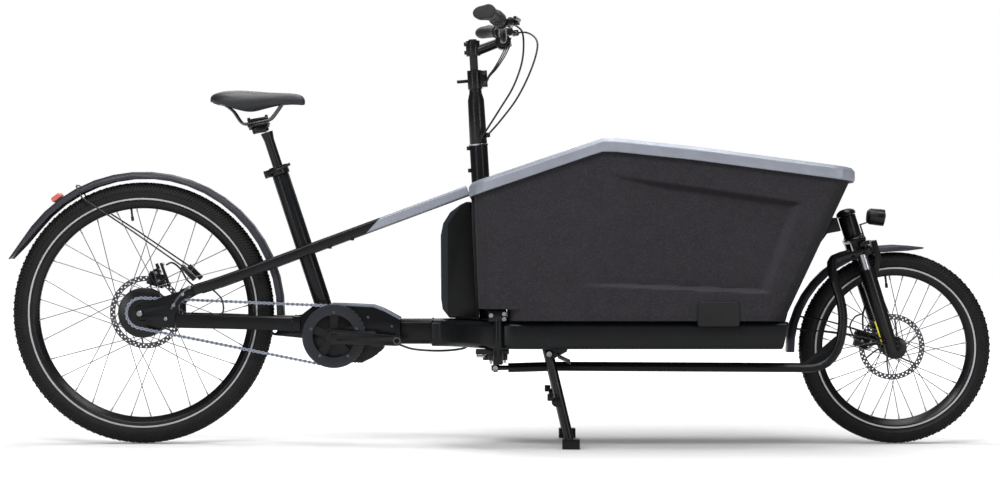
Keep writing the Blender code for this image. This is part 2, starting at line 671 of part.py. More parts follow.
stay_half = [
    (-0.8130, 0.0800, 0.4440), (-0.8410, 0.0740, 0.4730), (-0.9800, 0.0570, 0.5690),
    from_rear_axle(0.3480, 117.5, 0.0420), from_rear_axle(0.3660, 117.5, 0.0400),
    from_rear_axle(0.3830, 117.5, 0.0360), from_rear_axle(0.3860, 117.5, 0.0240)]
stay_path = [mirrored(RIGHT, *point) for point in stay_half] + [
    mirrored(LEFT, *point) for point in reversed(stay_half)]
stay_wire = tube("rear_fender_stay", stay_path, 0.0024, BLACK_METAL, roundness=1)
for side, label in ((RIGHT, "right"), (LEFT, "left")):
    fuse(stay_wire, bar("stay_boss_" + label, mirrored(side, -0.8480, 0.0730, 0.4775),
                        mirrored(side, -0.8140, 0.0795, 0.4430), 0.0075, sides=10))
light_place = Matrix.Translation(from_rear_axle(REAR_FENDER_RADIUS + 0.0065, 127, 0)) @ Matrix.Rotation(
    -math.radians(127), 4, "Y")
rear_light = block("rear_light", (-0.0060, -0.0220, -0.0150), (0.0090, 0.0220, 0.0150), RED_LENS)
rear_light.matrix_world = light_place


def caliper(name, centre, disc_y, heading, finish, parent=None):
    """A brake caliper as a block astride the disc, slotted from the disc's side. Heading is the
    direction from the wheel's axle to the block, in degrees."""
    place = Matrix.Translation(centre) @ Matrix.Rotation(-math.radians(heading), 4, "Y")
    body = block(name, (-0.0200, -0.0170, -0.0230), (0.0160, 0.0170, 0.0230), finish)
    slot = block(name + "_slot", (-0.0300, -0.0025, -0.0300), (0.0060, 0.0025, 0.0300))
    for thing in (body, slot):
        thing.matrix_world = place
    slot.location.y = body.location.y = disc_y
    bpy.context.view_layer.update()
    return cut(body, slot)


caliper("rear_brake_caliper", Vector((-0.9305, 0.0460, 0.4420)), 0.0460, 72, BLACK_METAL)

# ---------------------------------------------------------------- saddle, post and clamp

post = bar("seatpost", (0, 0, 0.1460), (0, 0, 0.4830), 0.0136, BLACK_METAL, seat_slide, 20)
fuse(post,
     block("post_head", (-0.0280, -0.0190, 0.4760), (0.0280, 0.0190, 0.5080), None, seat_slide))
TO_POST = SEAT.inverted()
SADDLE_RAIL = [(-0.7520, 0.0240, 0.9180), (-0.7320, 0.0235, 0.8680), (-0.6800, 0.0215, 0.8520),
               (-0.6150, 0.0215, 0.8600), (-0.5800, 0.0195, 0.9070), (-0.5470, 0.0120, 0.9160)]
for side, label in ((RIGHT, "right"), (LEFT, "left")):
    fuse(post, tube("saddle_rail_" + label, smooth_path(
        [TO_POST @ mirrored(side, *point) for point in SADDLE_RAIL], 2), 0.0035, None, seat_slide, 1))

SADDLE_SECTIONS = [
    (-0.7780, 0.0350, 0.9310, 0.0100), (-0.7700, 0.0640, 0.9400, 0.0180),
    (-0.7350, 0.0790, 0.9450, 0.0360), (-0.6900, 0.0760, 0.9440, 0.0500),
    (-0.6450, 0.0520, 0.9425, 0.0380), (-0.6000, 0.0280, 0.9420, 0.0270),
    (-0.5600, 0.0200, 0.9420, 0.0230), (-0.5350, 0.0170, 0.9390, 0.0210), (-0.5260, 0.0100, 0.9300, 0.0120)]


def saddle():
    """A saddle as a loft of crowned sections; each has a station, half width, top and depth."""
    rows = []
    for x, half, top, depth in SADDLE_SECTIONS:
        row = []
        for across, down in ((0, 0.0), (0.55, 0.10), (0.90, 0.40), (1.0, 0.85), (0.85, 1.0),
                             (0.5, 0.62), (0, 0.55)):
            row.append((across * half, top - down * depth))
        outline = row + [(-y, z) for y, z in row[-2:0:-1]]
        rows.append([TO_POST @ Vector((x, y, z)) for y, z in outline])
    return loft("saddle", rows, PLASTIC, seat_slide)


saddle()

clamp = ring("seat_clamp", 0.0265, 0.0145, 0.3645, 0.3880, BLACK_METAL, None, 20, SEAT)
clamp_lug = block("seat_clamp_lug", (-0.0410, -0.0150, 0.3660), (-0.0230, 0.0150, 0.3860))
clamp_lug.matrix_world = SEAT
fuse(clamp, clamp_lug)
SEAT_LEVER_PIVOT = Vector((-0.0330, -0.0230, 0.3765))
seat_lever_axis = pivot("seat_lever_axis", SEAT @ Matrix.Translation(SEAT_LEVER_PIVOT))
seat_lever = bar("seat_clamp_lever", (0, 0, -0.0080), (0, 0, 0.0080), 0.0070, BLACK_METAL, seat_lever_axis)
fuse(seat_lever, tube("seat_lever_handle", smooth_path([
    (0, -0.0010, 0), (0.0200, -0.0120, 0.0010), (0.0450, -0.0130, 0.0030), (0.0680, -0.0060, 0.0060)], 2),
    0.0045, None, seat_lever_axis, 1))

# ---------------------------------------------------------------- steering column and handlebar

column = turned("steering_column", [
    (0.0195, 0.8060), (0.0195, 0.7560), (0.0165, 0.7540), (0.0170, 0.7450), (0.0220, 0.7260),
    (0.0235, 0.6090), (0.0150, 0.6090), (0.0150, 0.0360), (0, 0.0360), (0, 0.5300),
    (0.0118, 0.5300), (0.0118, 0.8060)], BLACK_METAL, steering_axis, 20)

ball_p, ball_y = REAR_ARM * math.sin(ARM_ANGLE), -REAR_ARM * math.cos(ARM_ANGLE)
ROD_HEIGHT = 0.0075
fuse(column,
     bar("steering_foot", (0, 0, 0.0250), (0, 0, 0.0370), 0.0220, None, steering_axis, 20),
     tube("steering_arm", [(0, -0.005, 0.0310), (ball_p, ball_y, 0.0310)], 0.0085, None, steering_axis),
     bar("ball_stud", (ball_p, ball_y, 0.0390), (ball_p, ball_y, ROD_HEIGHT - 0.0110), 0.0060, None,
         steering_axis),
     block("mast_clamp_lug", (0.0150, -0.0150, 0.7600), (0.0340, 0.0150, 0.8040), None, steering_axis))

MAST_LEVER_PIVOT = Vector((0.0240, 0.0245, 0.7830))
mast_lever_axis = pivot("mast_lever_axis", STEERING @ Matrix.Translation(MAST_LEVER_PIVOT))
mast_lever = bar("mast_clamp_lever", (0, 0, -0.0090), (0, 0, 0.0090), 0.0085, BLACK_METAL, mast_lever_axis)
fuse(mast_lever, tube("mast_lever_handle", smooth_path([
    (0, 0.0010, 0), (-0.0250, 0.0040, -0.0010), (-0.0450, 0.0020, -0.0030), (-0.0720, -0.0030, -0.0040)], 2),
    0.0050, None, mast_lever_axis, 1))

BAR_CLAMP = Vector((0.0819, 0, 0.8784))
handlebar_slide = pivot("handlebar_slide", STEERING)
stem = bar("stem", (0, 0, 0.6300), (0, 0, 0.8900), 0.0110, BLACK_METAL, handlebar_slide, 16)
fuse(stem,
     bar("stem_head", (0, 0, 0.8450), (0, 0, 0.8860), 0.0190, None, handlebar_slide, 16),
     bar("stem_neck", (0.0080, 0, 0.8580), (0.0660, 0, 0.8760), 0.0140, None, handlebar_slide, 16, 0.0125),
     bar("bar_collar", BAR_CLAMP - Vector((0, 0.0230, 0)), BAR_CLAMP + Vector((0, 0.0230, 0)), 0.0215,
         None, handlebar_slide, 20))
cut(stem, bar("bar_bore", BAR_CLAMP - Vector((0, 0.05, 0)), BAR_CLAMP + Vector((0, 0.05, 0)), 0.0162,
              None, handlebar_slide, 20))

BAR_HALF = [
    (0.0819, 0.0300, 0.8784), (0.0822, 0.0650, 0.8840), (0.0822, 0.1050, 0.9020),
    (0.0800, 0.1450, 0.9150), (0.0755, 0.1950, 0.9210)]
GRIP_END = Vector((0.0461, 0.3400, 0.9359))
GRIP_START = Vector(BAR_HALF[-1])
half_line = smooth_path(BAR_HALF, 3) + [GRIP_START.lerp(GRIP_END, 0.93)]
bar_path = [mirrored(RIGHT, *point) for point in reversed(half_line)] + [
    mirrored(LEFT, *point) for point in half_line]
handlebar = tube("handlebar", bar_path, 0.0111, BLACK_METAL, handlebar_slide)
fuse(handlebar, bar("bar_bulge", BAR_CLAMP - Vector((0, 0.0300, 0)), BAR_CLAMP + Vector((0, 0.0300, 0)),
                    0.0159, None, handlebar_slide, 20))


def along_grip(side, share, p=0.0, s=0.0):
    point = GRIP_START.lerp(GRIP_END, share)
    return Vector((point.x + p, side * point.y, point.z + s))


LEVER_PIVOTS = {}
for side, label in ((RIGHT, "right"), (LEFT, "left")):
    first = 0.36 if side == RIGHT else 0.12
    grip = bar("grip_" + label, along_grip(side, first), along_grip(side, 1.0), 0.0160, RUBBER,
               handlebar_slide, 16)
    wing = bar("grip_wing_" + label, along_grip(side, 0.62, -0.0140, -0.0010),
               along_grip(side, 1.0, -0.0180, -0.0030), 0.0070, None, handlebar_slide, 12, 0.0150)
    fuse(grip, wing)
    cut(grip, bar("grip_bore_" + label, along_grip(side, 0.0), along_grip(side, 0.94), 0.0115, None,
                  handlebar_slide, 16))
    perch = bar("lever_perch_" + label, (0.0790, side * 0.1560, 0.9160), (0.0770, side * 0.1740, 0.9185),
                0.0170, None, handlebar_slide, 16)
    reservoir = block("reservoir_" + label, (-0.0080, -0.0220, -0.0090), (0.0100, 0.0300, 0.0090), None,
                      handlebar_slide)
    reservoir.matrix_local = Matrix.Translation((0.1010, side * 0.1550, 0.9170))
    fuse(handlebar, perch, reservoir)
    lever_pivot = Vector((0.1200, side * 0.1820, 0.9150))
    LEVER_PIVOTS[label] = lever_pivot
    lever_axis = pivot("brake_lever_axis_" + label, STEERING @ Matrix.Translation(lever_pivot))
    lever = bar("brake_lever_" + label, (0, 0, -0.0080), (0, 0, 0.0080), 0.0075, BLACK_METAL, lever_axis)
    fuse(lever, tube("brake_blade_" + label, smooth_path([
        (0, 0, 0), (0.0060, side * 0.0300, 0.0010), (0.0040, side * 0.0700, 0.0020),
        (-0.0060, side * 0.1150, 0.0030)], 2), 0.0048, None, lever_axis, 1))

shifter_start, shifter_end = along_grip(RIGHT, 0.08), along_grip(RIGHT, 0.34)
shifter = bar("twist_shifter", shifter_start, shifter_end, 0.0190, RUBBER, handlebar_slide, 16)
cut(shifter, bar("shifter_bore", along_grip(RIGHT, -0.02), along_grip(RIGHT, 0.5), 0.0115, None,
                 handlebar_slide, 16))

HOSE_RADIUS = 0.0025
REAR_HOSE_ROUTE = [
    (0.1150, -0.1420, 0.9120), (0.1340, -0.1000, 0.8940), (0.1350, -0.0650, 0.8500),
    (0.1250, -0.0480, 0.8050), (0.1000, -0.0420, 0.7500), (0.0640, -0.0400, 0.6980),
    (0.0280, -0.0380, 0.6480), (0.0100, -0.0330, 0.6230)]
FRONT_HOSE_ROUTE = [
    (0.1150, 0.1420, 0.9120), (0.1500, 0.1080, 0.9080), (0.1730, 0.0650, 0.8850),
    (0.1720, 0.0450, 0.8500), (0.1480, 0.0400, 0.7900), (0.1100, 0.0390, 0.7250),
    (0.0620, 0.0380, 0.6680), (0.0240, 0.0360, 0.6300), (0.0100, 0.0330, 0.6180)]
CONTROL_ROUTE = [
    (0.0950, -0.0480, 0.8640), (0.0780, -0.0420, 0.8350), (0.0600, -0.0340, 0.8080), (0.0460, -0.0280, 0.7900)]
tube("rear_brake_hose", smooth_path(REAR_HOSE_ROUTE, 4), HOSE_RADIUS, RUBBER, handlebar_slide, 1)
tube("front_brake_hose", smooth_path(FRONT_HOSE_ROUTE, 4), HOSE_RADIUS, RUBBER, handlebar_slide, 1)
tube("control_cables", smooth_path(CONTROL_ROUTE, 3), 0.0045, RUBBER, handlebar_slide, 1)

# ---------------------------------------------------------------- steering rod

ROD_PIVOT = STEERING @ Matrix.Translation((ball_p, ball_y, ROD_HEIGHT))
rear_ball = ROD_PIVOT.translation
rod_start = rear_ball + Vector((0.0340, -0.0037, 0.0004))
rod_pivot = pivot("rod_pivot", ROD_PIVOT)
rod_joint = ring("rod_joint", 0.0110, 0.0066, -0.0070, 0.0070, BLACK_METAL, rod_pivot, 16)
shank_end = ROD_PIVOT.inverted() @ (rod_start - Vector((0.0006, 0, 0)))
fuse(rod_joint, bar("rod_joint_shank", shank_end * 0.28, shank_end, 0.0065, None, rod_pivot))

EYE_P, EYE_Y = FRONT_ARM * math.sin(ARM_ANGLE), -FRONT_ARM * math.cos(ARM_ANGLE)
FRONT_EYE_HEIGHT = 0.2710
front_eye = FORK @ Vector((EYE_P, EYE_Y, FRONT_EYE_HEIGHT))
ROD_ROUTE = [
    (0.1500, -0.1140, 0.2125), (0.4000, -0.1480, 0.2130), (0.6500, -0.1860, 0.2134),
    (0.7700, -0.2030, 0.2134), (0.8200, -0.2090, 0.2138), (0.8560, -0.2110, 0.2270),
    (0.8820, -0.2110, 0.2590), (0.8950, -0.2090, 0.3050), (0.8985, -0.2030, 0.3500),
    (0.8920, -0.1950, 0.3950), (0.8790, -0.1840, 0.4400), (0.8730, -0.1740, 0.4740),
    (0.8800, -0.1600, 0.4970), tuple(front_eye + Vector((-0.0520, -0.0330, -0.0100)))]
rod = tube("push_rod", [rod_start, *smooth_path(ROD_ROUTE, 2)], ROD_RADIUS, FRAME_BLACK)
neck = bar("rod_neck", front_eye + Vector((-0.0560, -0.0350, -0.0110)),
           front_eye + Vector((-0.0110, -0.0070, -0.0015)), 0.0060)
GUSSET = [(0.7940, 0.2230), (0.8790, 0.2960), (0.8880, 0.2640), (0.8280, 0.2170)]
gusset = side_plate("rod_gusset", GUSSET, -0.2130, -0.2080)
eye = ring("rod_eye", 0.0165, 0.0105, -0.0065, 0.0065, None, None, 16)
eye_bore = bar("rod_eye_bore", (0, 0, -0.03), (0, 0, 0.03), 0.0105)
for thing in (eye, eye_bore):
    thing.matrix_world = Matrix.Translation(front_eye) @ Matrix.Rotation(-FORK_TILT, 4, "Y")
bpy.context.view_layer.update()
fuse(rod, gusset, neck, eye)
cut(rod, eye_bore)

# ---------------------------------------------------------------- fork

crown = block("fork_crown", (-0.0210, -0.0850, 0.2985), (0.0210, 0.0850, 0.3075), BLACK_METAL, fork_axis)
steerer = turned("steerer", [
    (0, 0.3860), (0.0200, 0.3860), (0.0200, 0.3735), (0.0150, 0.3725), (0.0150, 0.3105), (0.0215, 0.3100),
    (0.0215, 0.3040), (0, 0.3040)], None, fork_axis, 20)
fuse(crown, steerer)
for side, label in ((RIGHT, "right"), (LEFT, "left")):
    fuse(crown,
         block("crown_shoulder_" + label, mirrored(side, -0.0200, 0.0510, 0.2620),
               mirrored(side, 0.0200, 0.0800, 0.3070), None, fork_axis),
         bar("stanchion_" + label, (0, side * FORK_LEG_Y, 0.1180), (0, side * FORK_LEG_Y, 0.2700), 0.0145,
             None, fork_axis))
fuse(crown,
     block("fork_arm", (-0.0030, -0.1180, 0.2860), (0.0230, -0.0800, 0.2960), None, fork_axis),
     bar("fork_ball_stud", (EYE_P, EYE_Y, 0.2880), (EYE_P, EYE_Y, 0.2620),
         0.0065, None, fork_axis))

LOWER_PROFILE = [(0.0215, 0.2210), (0.0205, 0.1000), (0.0175, -0.0120), (0, -0.0120), (0, 0.0700),
                 (0.0150, 0.0700), (0.0150, 0.2210)]
lowers = turned("fork_lowers", LOWER_PROFILE, BLACK_METAL, fork_axis, 16,
                Matrix.Translation((0, RIGHT * FORK_LEG_Y, 0)))
fuse(lowers, turned("left_leg", LOWER_PROFILE, None, fork_axis, 16,
                    Matrix.Translation((0, LEFT * FORK_LEG_Y, 0))))

axle_x, axle_s = (FORK.inverted() @ FRONT_AXLE).xz
ARCH_SIDE = [(0.0155, 0.1850), (0.0470, 0.2400), (0.0480, 0.2890), (0.0330, 0.2890), (0.0310, 0.2450),
             (0.0160, 0.2180)]
for side, label in ((RIGHT, "right"), (LEFT, "left")):
    low, high = sorted((side * 0.0530, side * 0.0750))
    arm = plate("arch_side_" + label, ARCH_SIDE, -high, -low, None, fork_axis)
    arm.matrix_local = side_on((0, 0, 0)) @ arm.matrix_local
    bpy.context.view_layer.update()
    dropout_low, dropout_high = sorted((side * 0.0520, side * 0.0680))
    dropout = plate("fork_dropout_" + label, arc((axle_x, axle_s), 0.0180, -140, 130, 10)
                    + [(-0.0100, 0.0300), (-0.0130, 0.0000)], -dropout_high, -dropout_low, None, fork_axis)
    dropout.matrix_local = side_on((0, 0, 0)) @ dropout.matrix_local
    bpy.context.view_layer.update()
    fuse(lowers, arm, dropout)
fuse(lowers,
     block("arch_bar", (0.0340, -0.0730, 0.2770), (0.0475, 0.0730, 0.2885), None, fork_axis),
     bar("front_axle", (axle_x, -0.0740, axle_s), (axle_x, 0.0740, axle_s), 0.0050, None, fork_axis))
front_caliper = caliper("front_caliper_body", Vector((0.9790, 0.0, 0.2800)), 0.0420, 165, None)
caliper_arm = block("caliper_arm", (0.9800, 0.0510, 0.2620), (1.0450, 0.0580, 0.2960))
fuse(lowers, front_caliper, caliper_arm)

FRONT_FENDER_CENTRE = Vector((1.0557, 0, 0.2510))
FRONT_FENDER_RADIUS = 0.2845
front_fender = fender("front_fender", FRONT_FENDER_CENTRE, FRONT_FENDER_RADIUS, 73.5, 181, 0.0330, 73.5,
                      0.0052, fork_axis, FORK)

LAMP_CENTRE = Vector((0.0753, 0, 0.3450))
LAMP_TURN = Matrix.Rotation(math.radians(113.5), 4, "Y")
lamp = turned("headlight", [
    (0, 0.0240), (0.0200, 0.0220), (0.0225, 0.0050), (0.0215, -0.0180), (0.0150, -0.0250), (0, -0.0260)],
    PLASTIC, fork_axis, 20, Matrix.Translation(LAMP_CENTRE) @ LAMP_TURN)
fuse(lamp,
     block("lamp_foot", (0.0213, -0.0080, 0.2988), (0.0280, 0.0080, 0.3035), None, fork_axis),
     block("lamp_strap", (0.0265, -0.0080, 0.2988), (0.0295, 0.0080, 0.3400), None, fork_axis),
     block("lamp_arm", (0.0265, -0.0080, 0.3365), (0.0600, 0.0080, 0.3400), None, fork_axis))

# ---------------------------------------------------------------- kickstand

bracket = block("kickstand_bracket", (0.1150, -CROSS_HALF, 0.2850), (0.1850, CROSS_HALF, 0.3150), FRAME_BLACK)
BRACKET_SIDE = [(0.1020, 0.2900), (0.1850, 0.2900), (0.1750, 0.2560), (0.1420, 0.2380), (0.1200, 0.2400)]
stand = bar("kickstand", (0, -0.2000, 0), (0, 0.2000, 0), 0.0100, BLACK_METAL, stand_axis)
for side, label in ((RIGHT, "right"), (LEFT, "left")):
    low, high = sorted((side * 0.2150, side * 0.2230))
    fuse(bracket, side_plate("bracket_side_" + label, BRACKET_SIDE, low, high))
    leg = bar("leg_" + label, mirrored(side, -0.0030, 0.1980, 0.0130), mirrored(side, 0.0560, 0.2040, -0.2350),
              0.0125, None, stand_axis)
    foot = block("foot_" + label, (0, 0, 0), (1, 1, 1), None, stand_axis)
    foot_low = Vector((0.0350, -0.0200, -STAND_PIVOT.z))
    foot.matrix_local = Matrix.Translation(foot_low + Vector((0, side * 0.2040, 0))) @ Matrix.Diagonal(
        (0.0460, 0.0400, 0.0260, 1))
    pin = bar("stand_pin_" + label, mirrored(side, 0, 0.1900, 0), mirrored(side, 0, 0.2260, 0), 0.0060,
              None, stand_axis)
    fuse(stand, leg, foot, pin)
    cut(bracket, bar("pin_hole_" + label, STAND_PIVOT + Vector((0, side * 0.21, 0)),
                     STAND_PIVOT + Vector((0, side * 0.24, 0)), 0.0066))
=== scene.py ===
# %% [markdown]
# # A long-john cargo bicycle
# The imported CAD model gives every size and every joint. Around it this lesson builds finished
# pieces: tyres with tread, laced wheels, a chain of links, a foam box, a padded saddle. Each piece
# rides on the CAD body it belongs to, so it moves with the joints.

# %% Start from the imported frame
import math

import bmesh
import bpy
import numpy as np
from mathutils import Matrix, Vector
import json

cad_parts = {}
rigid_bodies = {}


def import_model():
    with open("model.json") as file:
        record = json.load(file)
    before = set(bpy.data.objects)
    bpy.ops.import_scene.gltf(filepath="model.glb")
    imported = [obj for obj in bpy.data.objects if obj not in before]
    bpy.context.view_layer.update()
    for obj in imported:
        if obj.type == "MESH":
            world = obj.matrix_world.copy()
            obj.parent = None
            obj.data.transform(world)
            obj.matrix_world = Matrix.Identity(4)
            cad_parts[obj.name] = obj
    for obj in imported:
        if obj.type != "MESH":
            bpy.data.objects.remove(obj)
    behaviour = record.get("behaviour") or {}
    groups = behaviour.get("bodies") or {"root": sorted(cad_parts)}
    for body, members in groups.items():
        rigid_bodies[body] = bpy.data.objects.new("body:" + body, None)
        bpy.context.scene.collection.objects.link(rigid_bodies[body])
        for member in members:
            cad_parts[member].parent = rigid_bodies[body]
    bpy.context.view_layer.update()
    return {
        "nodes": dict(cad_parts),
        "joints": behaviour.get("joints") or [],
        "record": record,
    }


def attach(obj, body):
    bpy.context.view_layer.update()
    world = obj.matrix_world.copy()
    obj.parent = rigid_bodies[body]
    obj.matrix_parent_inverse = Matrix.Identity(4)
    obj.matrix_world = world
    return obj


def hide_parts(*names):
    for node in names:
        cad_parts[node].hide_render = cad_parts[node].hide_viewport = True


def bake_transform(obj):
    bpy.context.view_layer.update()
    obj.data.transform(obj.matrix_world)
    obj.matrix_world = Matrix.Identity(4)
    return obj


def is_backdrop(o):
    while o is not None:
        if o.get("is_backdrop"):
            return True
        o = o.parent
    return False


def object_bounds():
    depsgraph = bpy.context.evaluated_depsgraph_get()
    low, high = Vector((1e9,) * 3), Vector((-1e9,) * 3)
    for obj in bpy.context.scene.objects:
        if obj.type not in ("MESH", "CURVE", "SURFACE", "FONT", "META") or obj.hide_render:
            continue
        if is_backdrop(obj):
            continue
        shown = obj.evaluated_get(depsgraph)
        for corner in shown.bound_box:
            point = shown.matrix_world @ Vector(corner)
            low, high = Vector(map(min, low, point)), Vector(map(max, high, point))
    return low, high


for old_object in list(bpy.data.objects):
    bpy.data.objects.remove(old_object)
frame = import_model()
JOINTS = {joint["name"]: joint for joint in frame["joints"]}
BODY_OF = {node: body for body, nodes in frame["record"]["behaviour"]["bodies"].items() for node in nodes}
SLOT_OF = {part["node"]: part["material_slot"] for part in frame["record"]["subparts"]}
print(f"{len(frame['nodes'])} CAD nodes, {len(JOINTS)} joints")


# %% [markdown]
# ## Frames of reference
# Three rods lean back: the seat tube, the steering column and the fork. A piece is drawn upright
# at the origin and then placed by one of these matrices, which come from the joints. Working in a
# rod's own frame keeps the numbers simple: Z runs along the rod. Wheels and cranks turn about +Y.

# %% Matrices for the leaning rods and the axles
move = Matrix.Translation
FACE_RIGHT = Matrix.Rotation(math.pi / 2, 4, "X")
FACE_AHEAD = Matrix.Rotation(math.pi / 2, 4, "Y")
RIGHT, LEFT = -1, 1
SIDES = ((RIGHT, "right"), (LEFT, "left"))


def facing_out(side):
    """Local Z turned to the right or left side."""
    return Matrix.Rotation(-side * math.pi / 2, 4, "X")


def leaning(joint_name):
    joint = JOINTS[joint_name]
    x, _, z = joint["axis"]
    return move(joint["pos_m"]) @ Matrix.Rotation(math.atan2(x, z), 4, "Y")


STEERING = leaning("steering_turn")
FORK = leaning("fork_turn")
SEAT_AXIS = Vector(JOINTS["seat_height"]["axis"])
SEAT_ROOT = (-0.4783, 0, 0.3778)
SEAT = move(SEAT_ROOT) @ Matrix.Rotation(math.atan2(SEAT_AXIS.x, SEAT_AXIS.z), 4, "Y")
REAR_AXLE = Vector(JOINTS["rear_wheel_spin"]["pos_m"])
FRONT_AXLE = Vector(JOINTS["front_wheel_spin"]["pos_m"])
CRANK = Vector(JOINTS["crank_spin"]["pos_m"])
print("steering leans", round(math.degrees(math.atan2(STEERING[0][2], STEERING[2][2])), 1), "degrees")


# %% [markdown]
# ## Materials
# One function adds a node with its settings and its links. Every finish below is built from it:
# colour that varies a little over the surface, roughness that varies more, and a fine relief. An
# image texture would need unwrapping; noise in object coordinates doesn't, and its scale stays in
# millimetres on every piece.

# %% The node function and colours
def add_node(tree, kind, links=None, **settings):
    """A shader or geometry node. links maps an input's name or number to a value or a socket."""
    node = tree.nodes.new(kind)
    for key, value in settings.items():
        setattr(node, key, value)
    for key, value in (links or {}).items():
        if isinstance(value, bpy.types.NodeSocket):
            tree.links.new(value, node.inputs[key])
        else:
            node.inputs[key].default_value = value
    return node


def srgb(hexes):
    """A linear colour from an sRGB hex string."""
    parts = [int(hexes[i:i + 2], 16) / 255 for i in (1, 3, 5)]
    return tuple(c / 12.92 if c <= 0.04045 else ((c + 0.055) / 1.055) ** 2.4 for c in parts) + (1,)


# %% [markdown]
# Three small shader tools do most of the work: noise whose scale is given in millimetres, a range
# that stretches a value, and a mix of two colours.

# %% Noise, range and mix
def noise(tree, where, millimetres, detail=4.0, rough=0.55):
    return add_node(tree, "ShaderNodeTexNoise",
                    {"Vector": where, "Scale": 1000 / millimetres, "Detail": detail, "Roughness": rough})


def spread(tree, value, low, high, start=0.3, end=0.7):
    return add_node(tree, "ShaderNodeMapRange", {
        "Value": value, "From Min": start, "From Max": end, "To Min": low, "To Max": high}).outputs[0]


def mix(tree, factor, first, second):
    node = add_node(tree, "ShaderNodeMix", data_type="RGBA")
    for socket, value in ((node.inputs[0], factor), (node.inputs[6], first), (node.inputs[7], second)):
        if isinstance(value, bpy.types.NodeSocket):
            tree.links.new(value, socket)
        else:
            socket.default_value = value
    return node.outputs[2]


# %% [markdown]
# A real finish is never one flat colour. Two close colours meet in soft patches, smudges change the
# roughness, and a fine bump breaks up the highlight. Constant values go straight onto the shader's
# sockets.

# %% One recipe for every finish
def finish(name, base, tint, rough, metallic=0.0, grain=2.0, relief=0.02, coat=0.0, extra=None, shine=0.5):
    """A finish: two close colours over patches, a varying roughness, and a relief in millimetres
    with the given grain. extra may change the colour or add to the relief height."""
    material = bpy.data.materials.new(name)
    material.use_nodes = True
    tree = material.node_tree
    shader = tree.nodes["Principled BSDF"]
    where = add_node(tree, "ShaderNodeTexCoord").outputs["Object"]
    patches = noise(tree, where, 45, 5).outputs["Fac"]
    fine = noise(tree, where, grain, 3, 0.6).outputs["Fac"]
    colour = mix(tree, spread(tree, patches, 0, 1), srgb(base), srgb(tint))
    height = fine
    if extra:
        colour, height = extra(tree, where, colour, fine)
    tree.links.new(colour, shader.inputs["Base Color"])
    smudges = noise(tree, where, 80, 6, 0.65).outputs["Fac"]
    tree.links.new(spread(tree, smudges, rough - 0.05, rough + 0.07), shader.inputs["Roughness"])
    shader.inputs["Metallic"].default_value = metallic
    shader.inputs["Coat Weight"].default_value = coat
    shader.inputs["Coat Roughness"].default_value = 0.25
    shader.inputs["Specular IOR Level"].default_value = shine
    bump = add_node(tree, "ShaderNodeBump", {"Height": height, "Strength": 1.0, "Distance": relief / 1000})
    tree.links.new(bump.outputs[0], shader.inputs["Normal"])
    return material


# %% [markdown]
# Some finishes have a pattern of their own: beads in the foam, grain in the saddle cover, turning
# marks on metal, and tubes painted black behind a slanted line and silver-grey ahead of it. Each
# pattern is a function that takes the colour and the relief so far and returns its own.

# %% Patterns
def cells(tree, where, millimetres, feature="F1"):
    return add_node(tree, "ShaderNodeTexVoronoi", {"Vector": where, "Scale": 1000 / millimetres},
                    feature=feature)


BEAD = 2.8  # millimetres across one bead of the foam


def plus(tree, first, second):
    return add_node(tree, "ShaderNodeMath", {0: first, 1: second}, operation="ADD").outputs[0]


def foam_beads(tree, where, colour, fine):
    """Moulded beads with dark joins. Faces that look up and back get a painted highlight, and faces that
    look down get painted shade.
    """
    beads = cells(tree, where, BEAD)
    joins = cells(tree, where, BEAD, "DISTANCE_TO_EDGE")
    shade = add_node(tree, "ShaderNodeSeparateColor", {"Color": beads.outputs["Color"]}).outputs[0]
    speckled = mix(tree, spread(tree, shade, 0, 0.75, 0.45, 1.0), colour, srgb("#353337"))
    groove = spread(tree, joins.outputs["Distance"], 0, 1, 0, 0.12)
    dark = mix(tree, groove, srgb("#1b1a1d"), speckled)
    # Painted light: faces turned up and back are painted paler as a highlight, faces turned down are
    # painted darker as shade.
    facing = add_node(tree, "ShaderNodeVectorMath", {
        0: add_node(tree, "ShaderNodeTexCoord").outputs["Normal"], 1: (-0.3, 0.0, 0.95)},
        operation="DOT_PRODUCT").outputs["Value"]
    painted_highlight_beads = mix(tree, spread(tree, facing, 0, 0.45, 0.06, 0.7), dark, srgb("#47454b"))
    painted_shade_beads = mix(tree, spread(tree, facing, 0.55, 0, -0.65, -0.15), painted_highlight_beads, srgb("#0c0b0d"))
    return painted_shade_beads, plus(tree, groove, fine)


# %% [markdown]
# The saddle cover is embossed like leather, with small raised cells. Turned metal has fine rings,
# which follow the lathe's tool.

# %% Leather grain and turning marks
def leather_grain(tree, where, colour, fine):
    """Small raised cells with folds between them."""
    folds = cells(tree, where, 1.6, "DISTANCE_TO_EDGE")
    height = spread(tree, folds.outputs["Distance"], 0, 1, 0, 0.25)
    return colour, plus(tree, height, fine)


def turned_rings(tree, where, colour, fine):
    """The fine rings that a lathe leaves."""
    rings = add_node(tree, "ShaderNodeTexWave", {"Vector": where, "Scale": 420.0, "Distortion": 1.2},
                     wave_type="RINGS", rings_direction="Y")
    return colour, plus(tree, rings.outputs["Fac"], fine)


# %% [markdown]
# Some pieces change colour along a straight slanted line: the tubes carry two paints, and the battery cover
# a painted sheen along its back and top. The line is X plus a slope times Z, so the same few nodes serve
# both. Tyres only get dust.

# %% Two paints, a painted sheen, and dust
def across_slope(tree, axes, slope):
    """X + slope * Z, which is constant along a slanted line."""
    return add_node(tree, "ShaderNodeMath", {0: axes.outputs["Z"], 1: slope, 2: axes.outputs["X"]},
                    operation="MULTIPLY_ADD").outputs[0]


